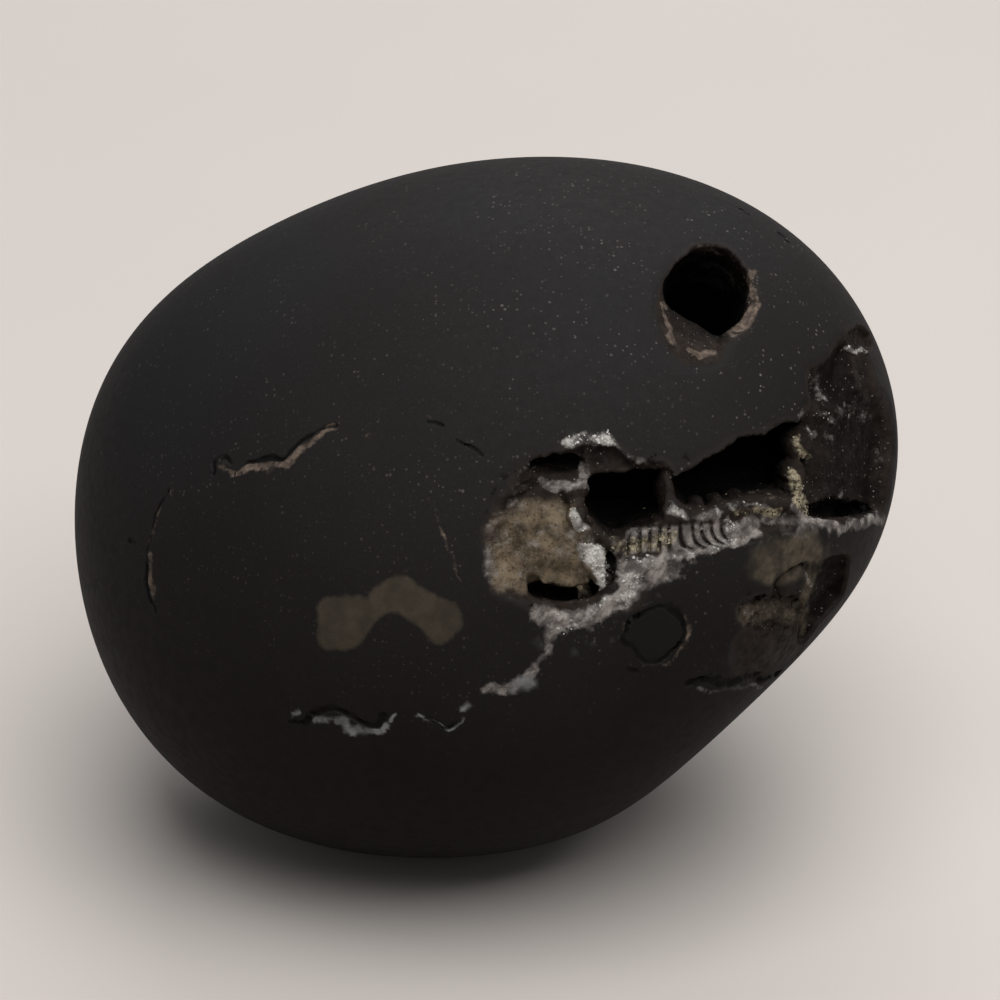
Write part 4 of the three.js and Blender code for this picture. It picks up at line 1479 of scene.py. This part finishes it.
def painted_deep_shade(stone, colour):
    """Painted shade: the rock is darker the deeper it lies below the skin, and darker still along the painted
    shadows in the cavities.
    """
    depth_shade = stone.span(stone.mask["depth"], 1.2, 5.2, 1.0, 0.14)
    shade = stone.times(depth_shade, stone.span(stone.mask["painted_shadow"], 0.1, 0.85, 1.0, 0.1))
    return mix(stone.tree, 1.0, colour, shade, "MULTIPLY")


LAYERS = (
    dusty, olive_patch, broken_rock, olive_rock, grey_shell_and_painted_light, rib_colours, sediment, golden_calcite,
    white_crust, crack_linings, painted_deep_shade,
)


def stone_material():
    """The whole stone: worn black skin, broken brown rock, and each mineral where its mask says."""
    material, tree, shader, place = new_material("Worn black limestone")
    stone = StoneLayers(tree, place, bpy.context.scene.stone_colours)
    colour = worn_skin(stone)
    for layer in LAYERS:
        colour = layer(stone, colour)
    tree.links.new(colour, shader.inputs["Base Color"])

    broken = stone.span(stone.mask["depth"], 0.1, 0.5)
    worn_gloss = stone.clouds(900.0, 0.35, 0.7, 0.66, 0.74)
    broken_gloss = stone.clouds(1200.0, 0.4, 0.62, -0.06, 0.24)
    roughness = math_node(tree, "ADD", worn_gloss, stone.times(broken, broken_gloss))
    tree.links.new(roughness, shader.inputs["Roughness"])
    shader.inputs["Specular IOR Level"].default_value = 0.075

    grain = grouped(tree, "Grain", {"Place": place, "Broad": 0.06, "Fine": 0.12, "Tooth": 0.14})
    lumps = grouped(tree, "Grain", {"Place": stone.bedded, "Broad": 0.0, "Fine": 1.3, "Tooth": 0.6})
    bump(tree, shader, math_node(tree, "ADD", grain, stone.times(lumps, broken)), 0.00014)
    return material


def mineral_material(name, colour, least, most, roughness):
    """Small grains: each is darker or paler than the next, with a fine tooth."""
    material, tree, shader, place = new_material(name)
    tone = span(tree, noise_value(tree, place, 1800.0, detail=4.0), 0.32, 0.68)
    tree.links.new(mix(tree, tone, rgba(colour, least), rgba(colour, most)), shader.inputs["Base Color"])
    tooth = grouped(tree, "Grain", {"Place": place, "Broad": 0.0, "Fine": 0.8, "Tooth": 0.5})
    bump(tree, shader, tooth, 0.00005)
    shader.inputs["Roughness"].default_value = roughness
    return material


def floor_material():
    material, tree, shader, place = new_material("Pale floor")
    floor = bpy.context.scene.stage_look.floor
    tone = span(tree, noise_value(tree, place, 6.0), 0.3, 0.7)
    tree.links.new(mix(tree, tone, rgba(floor, 0.97), rgba(floor)), shader.inputs["Base Color"])
    shader.inputs["Roughness"].default_value = 0.9
    return material


# Making the pieces


def make_piece(name, corners, triangles, material, smooth=False):
    """A mesh object in the CAD frame that belongs to the stone, from corners in metres."""
    mesh = bpy.data.meshes.new(name)
    mesh.from_pydata(corners.tolist(), [], triangles.tolist())
    mesh.polygons.foreach_set("use_smooth", [smooth] * len(mesh.polygons))
    mesh.materials.append(material)
    mesh.update()
    piece = bpy.data.objects.new(name, mesh)
    bpy.context.scene.collection.objects.link(piece)
    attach(piece, "root")
    return piece


def set_normals(piece, normals):
    length = np.maximum(np.linalg.norm(normals, axis=1, keepdims=True), 1e-9)
    piece.data.normals_split_custom_set_from_vertices((normals / length).tolist())


def grain_shape():
    """The twelve corners and twenty triangles of a rounded grain."""
    golden = (1 + math.sqrt(5)) / 2
    corners = []
    for a, b in itertools.product((-1, 1), (-golden, golden)):
        corners += [(a, b, 0), (0, a, b), (b, 0, a)]
    corners = np.array(corners) / math.hypot(1, golden)
    near = np.linalg.norm(corners[:, None] - corners[None], axis=2) < 1.1
    triangles = []
    for a, b, c in itertools.combinations(range(len(corners)), 3):
        if near[a, b] and near[b, c] and near[a, c]:
            out = np.linalg.det(corners[[a, b, c]]) > 0
            triangles.append((a, b, c) if out else (a, c, b))
    return corners, np.array(triangles)


def read_mesh(mesh, mask_name):
    """A mesh's corners, its triangles, and one of the masks that its corners carry."""
    corners = np.empty(3 * len(mesh.vertices))
    mesh.vertices.foreach_get("co", corners)
    triangles = np.empty(3 * len(mesh.polygons), int)
    mesh.polygons.foreach_get("vertices", triangles)
    mask = np.empty(len(mesh.vertices))
    mesh.attributes[mask_name].data.foreach_get("value", mask)
    return corners.reshape(-1, 3), triangles.reshape(-1, 3), mask


# How the grains lie and how they differ from each other
BARE_BELOW = 0.25
CROWDING = 1.5
SIZE_SPREAD = 0.35
UNEVENNESS = 0.3
STRETCHES = (0.6, 1.3)
FLATNESS = 0.5


def scatter(stone, mask_name, count, size, seed):
    """Grains set into the stone's surface, more of them where the mask is stronger, flattened onto it."""
    corners, triangles, mask = read_mesh(stone.data, mask_name)
    sides = corners[triangles] / MM
    across = np.cross(sides[:, 1] - sides[:, 0], sides[:, 2] - sides[:, 0])
    area = np.linalg.norm(across, axis=1)
    weight = area * np.clip(mask[triangles].mean(axis=1) - BARE_BELOW, 0.0, None) ** CROWDING
    draw = np.random.default_rng(seed)
    chosen = draw.choice(len(triangles), count, p=weight / weight.sum())
    share = draw.dirichlet((1, 1, 1), count)
    middle = np.einsum("ij,ijk->ik", share, sides[chosen])
    outward = across[chosen] / area[chosen][:, None]
    shape, faces = grain_shape()
    half = size / MM / 2 * draw.lognormal(0.0, SIZE_SPREAD, count)
    uneven = 1 + draw.uniform(-UNEVENNESS, UNEVENNESS, (count, len(shape), 1))
    stretch = draw.uniform(*STRETCHES, (count, 1, 3))
    spin = np.linalg.qr(draw.normal(size=(count, 3, 3)))[0]
    local = np.einsum("nij,nkj->nki", spin, shape[None] * uneven * stretch) * half[:, None, None]
    lift = np.einsum("nki,ni->nk", local, outward)
    local -= (1 - FLATNESS) * lift[:, :, None] * outward[:, None, :]
    all_corners = (middle[:, None] + local).reshape(-1, 3)
    all_faces = (faces[None] + len(shape) * np.arange(count)[:, None, None]).reshape(-1, 3)
    return all_corners * MM, all_faces


CRUST_SEED = 5
CRYSTAL_SEED = 6


def make_grains(name, mask_name, count, size, seed, material):
    stone = bpy.data.objects.get("stone")
    if stone is None:
        raise RuntimeError("make the stone before its grains")
    corners, faces = scatter(stone, mask_name, count, size, seed)
    return make_piece(name, corners, faces, material)


class MakeStone(bpy.types.Operator):
    """Make the stone with its broken face"""

    bl_idname = "shaligram.make_stone"
    bl_label = "Stone"

    def execute(self, context):
        corners, triangles = stone_mesh(context.scene.stone_sizes)
        piece = make_piece("stone", to_frame(corners), triangles, stone_material(), smooth=True)
        for name, values in surface_masks(corners).items():
            layer = piece.data.attributes.new(name, "FLOAT", "POINT")
            layer.data.foreach_set("value", values)
        set_normals(piece, slope(corners)[1])
        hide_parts(NODE)
        return {"FINISHED"}


class MakeCrust(bpy.types.Operator):
    """Set the grains of the white crust into the stone"""

    bl_idname = "shaligram.make_crust"
    bl_label = "White crust"

    def execute(self, context):
        sizes = context.scene.stone_sizes
        count, size = sizes.grain_count, sizes.grain_size
        material = mineral_material("White calcite", context.scene.stone_colours.crust, 0.45, 1.1, 0.45)
        make_grains("crust_grains", "crust", count, size, CRUST_SEED, material)
        return {"FINISHED"}


class MakeCrystals(bpy.types.Operator):
    """Set the golden crystals into the ribs and ledges"""

    bl_idname = "shaligram.make_crystals"
    bl_label = "Golden crystals"

    def execute(self, context):
        sizes = context.scene.stone_sizes
        count, size = sizes.crystal_count, sizes.crystal_size
        material = mineral_material("Golden calcite", context.scene.stone_colours.gold, 0.4, 1.6, 0.3)
        make_grains("golden_crystals", "gold", count, size, CRYSTAL_SEED, material)
        return {"FINISHED"}


# The stage

CAMERA_DISTANCE = 550.0
CAMERA_AIM = (1.15, 0.78)
LENS = 198.0
FLOOR_HALF = 3.0
FILL_COLOUR = (0.93, 0.96, 1.0, 1.0)
LIGHT_AIM = Vector((0.0, 0.0, 0.03))
KEY_SIZE = 0.8
KEY_PLACE = Vector((0.14, -0.30, 0.80))
BACK_SHARE = 0.3
BACK_SIZE = 0.6
BACK_PLACE = Vector((0.06, 0.50, 0.60))


def make_camera():
    """Looks straight at the broken face, 27 degrees down, from where the photograph was taken."""
    camera = bpy.data.objects.new("camera", bpy.data.cameras.new("camera"))
    bpy.context.scene.collection.objects.link(camera)
    camera.data.lens = LENS
    camera.data.clip_start = 0.01
    aim = on_face(*CAMERA_AIM)
    camera.location = to_frame(aim + CAMERA_DISTANCE * OUT)
    camera.rotation_euler = Vector(-OUT).to_track_quat("-Z", "Y").to_euler()
    bpy.context.scene.camera = camera


def make_light(name, power, size, place):
    light = bpy.data.lights.new(name, "AREA")
    light.energy = power
    light.size = size
    lamp = bpy.data.objects.new(name, light)
    lamp.location = place
    lamp.rotation_euler = (LIGHT_AIM - place).to_track_quat("-Z", "Y").to_euler()
    bpy.context.scene.collection.objects.link(lamp)


def make_floor():
    corners = [(x * FLOOR_HALF, y * FLOOR_HALF, 0.0) for x, y in ((-1, -1), (1, -1), (1, 1), (-1, 1))]
    mesh = bpy.data.meshes.new("floor")
    mesh.from_pydata(corners, [], [range(len(corners))])
    mesh.materials.append(floor_material())
    floor = bpy.data.objects.new("floor", mesh)
    bpy.context.scene.collection.objects.link(floor)


def make_even_light(strength):
    world = bpy.data.worlds.new("Even light")
    world.use_nodes = True
    background = world.node_tree.nodes["Background"]
    background.inputs["Color"].default_value = FILL_COLOUR
    background.inputs["Strength"].default_value = strength
    bpy.context.scene.world = world


class MakeStage(bpy.types.Operator):
    """Lay the floor and set up the lights and the camera"""

    bl_idname = "shaligram.make_stage"
    bl_label = "Stage"

    def execute(self, context):
        look = context.scene.stage_look
        make_floor()
        make_even_light(look.fill)
        make_light("key light", look.key_power, KEY_SIZE, KEY_PLACE)
        make_light("back light", BACK_SHARE * look.key_power, BACK_SIZE, BACK_PLACE)
        make_camera()
        context.scene.view_settings.view_transform = "Standard"
        return {"FINISHED"}


MAKERS = (MakeStone, MakeCrust, MakeCrystals, MakeStage)


class ShaligramPanel(bpy.types.Panel):
    """Buttons that make each piece, with the sizes and colours they use"""

    bl_idname = "VIEW3D_PT_shaligram"
    bl_label = "Shaligram"
    bl_space_type = "VIEW_3D"
    bl_region_type = "UI"
    bl_category = "Shaligram"

    def draw(self, context):
        layout = self.layout
        for maker in MAKERS:
            layout.operator(maker.bl_idname)
        for group in (context.scene.stone_sizes, context.scene.stone_colours, context.scene.stage_look):
            for name in group.bl_rna.properties.keys():
                if name not in ("rna_type", "name"):
                    layout.prop(group, name)


CLASSES = (StoneSizes, StoneColours, StageLook, *MAKERS, ShaligramPanel)


def register():
    for made in CLASSES:
        bpy.utils.register_class(made)
    bpy.types.Scene.stone_sizes = PointerProperty(type=StoneSizes)
    bpy.types.Scene.stone_colours = PointerProperty(type=StoneColours)
    bpy.types.Scene.stage_look = PointerProperty(type=StageLook)


def unregister():
    del bpy.types.Scene.stage_look
    del bpy.types.Scene.stone_colours
    del bpy.types.Scene.stone_sizes
    for made in reversed(CLASSES):
        bpy.utils.unregister_class(made)


def main():
    register()
    bpy.ops.shaligram.make_stone()
    bpy.ops.shaligram.make_crust()
    bpy.ops.shaligram.make_crystals()
    bpy.ops.shaligram.make_stage()


if __name__ == "__main__":
    main()
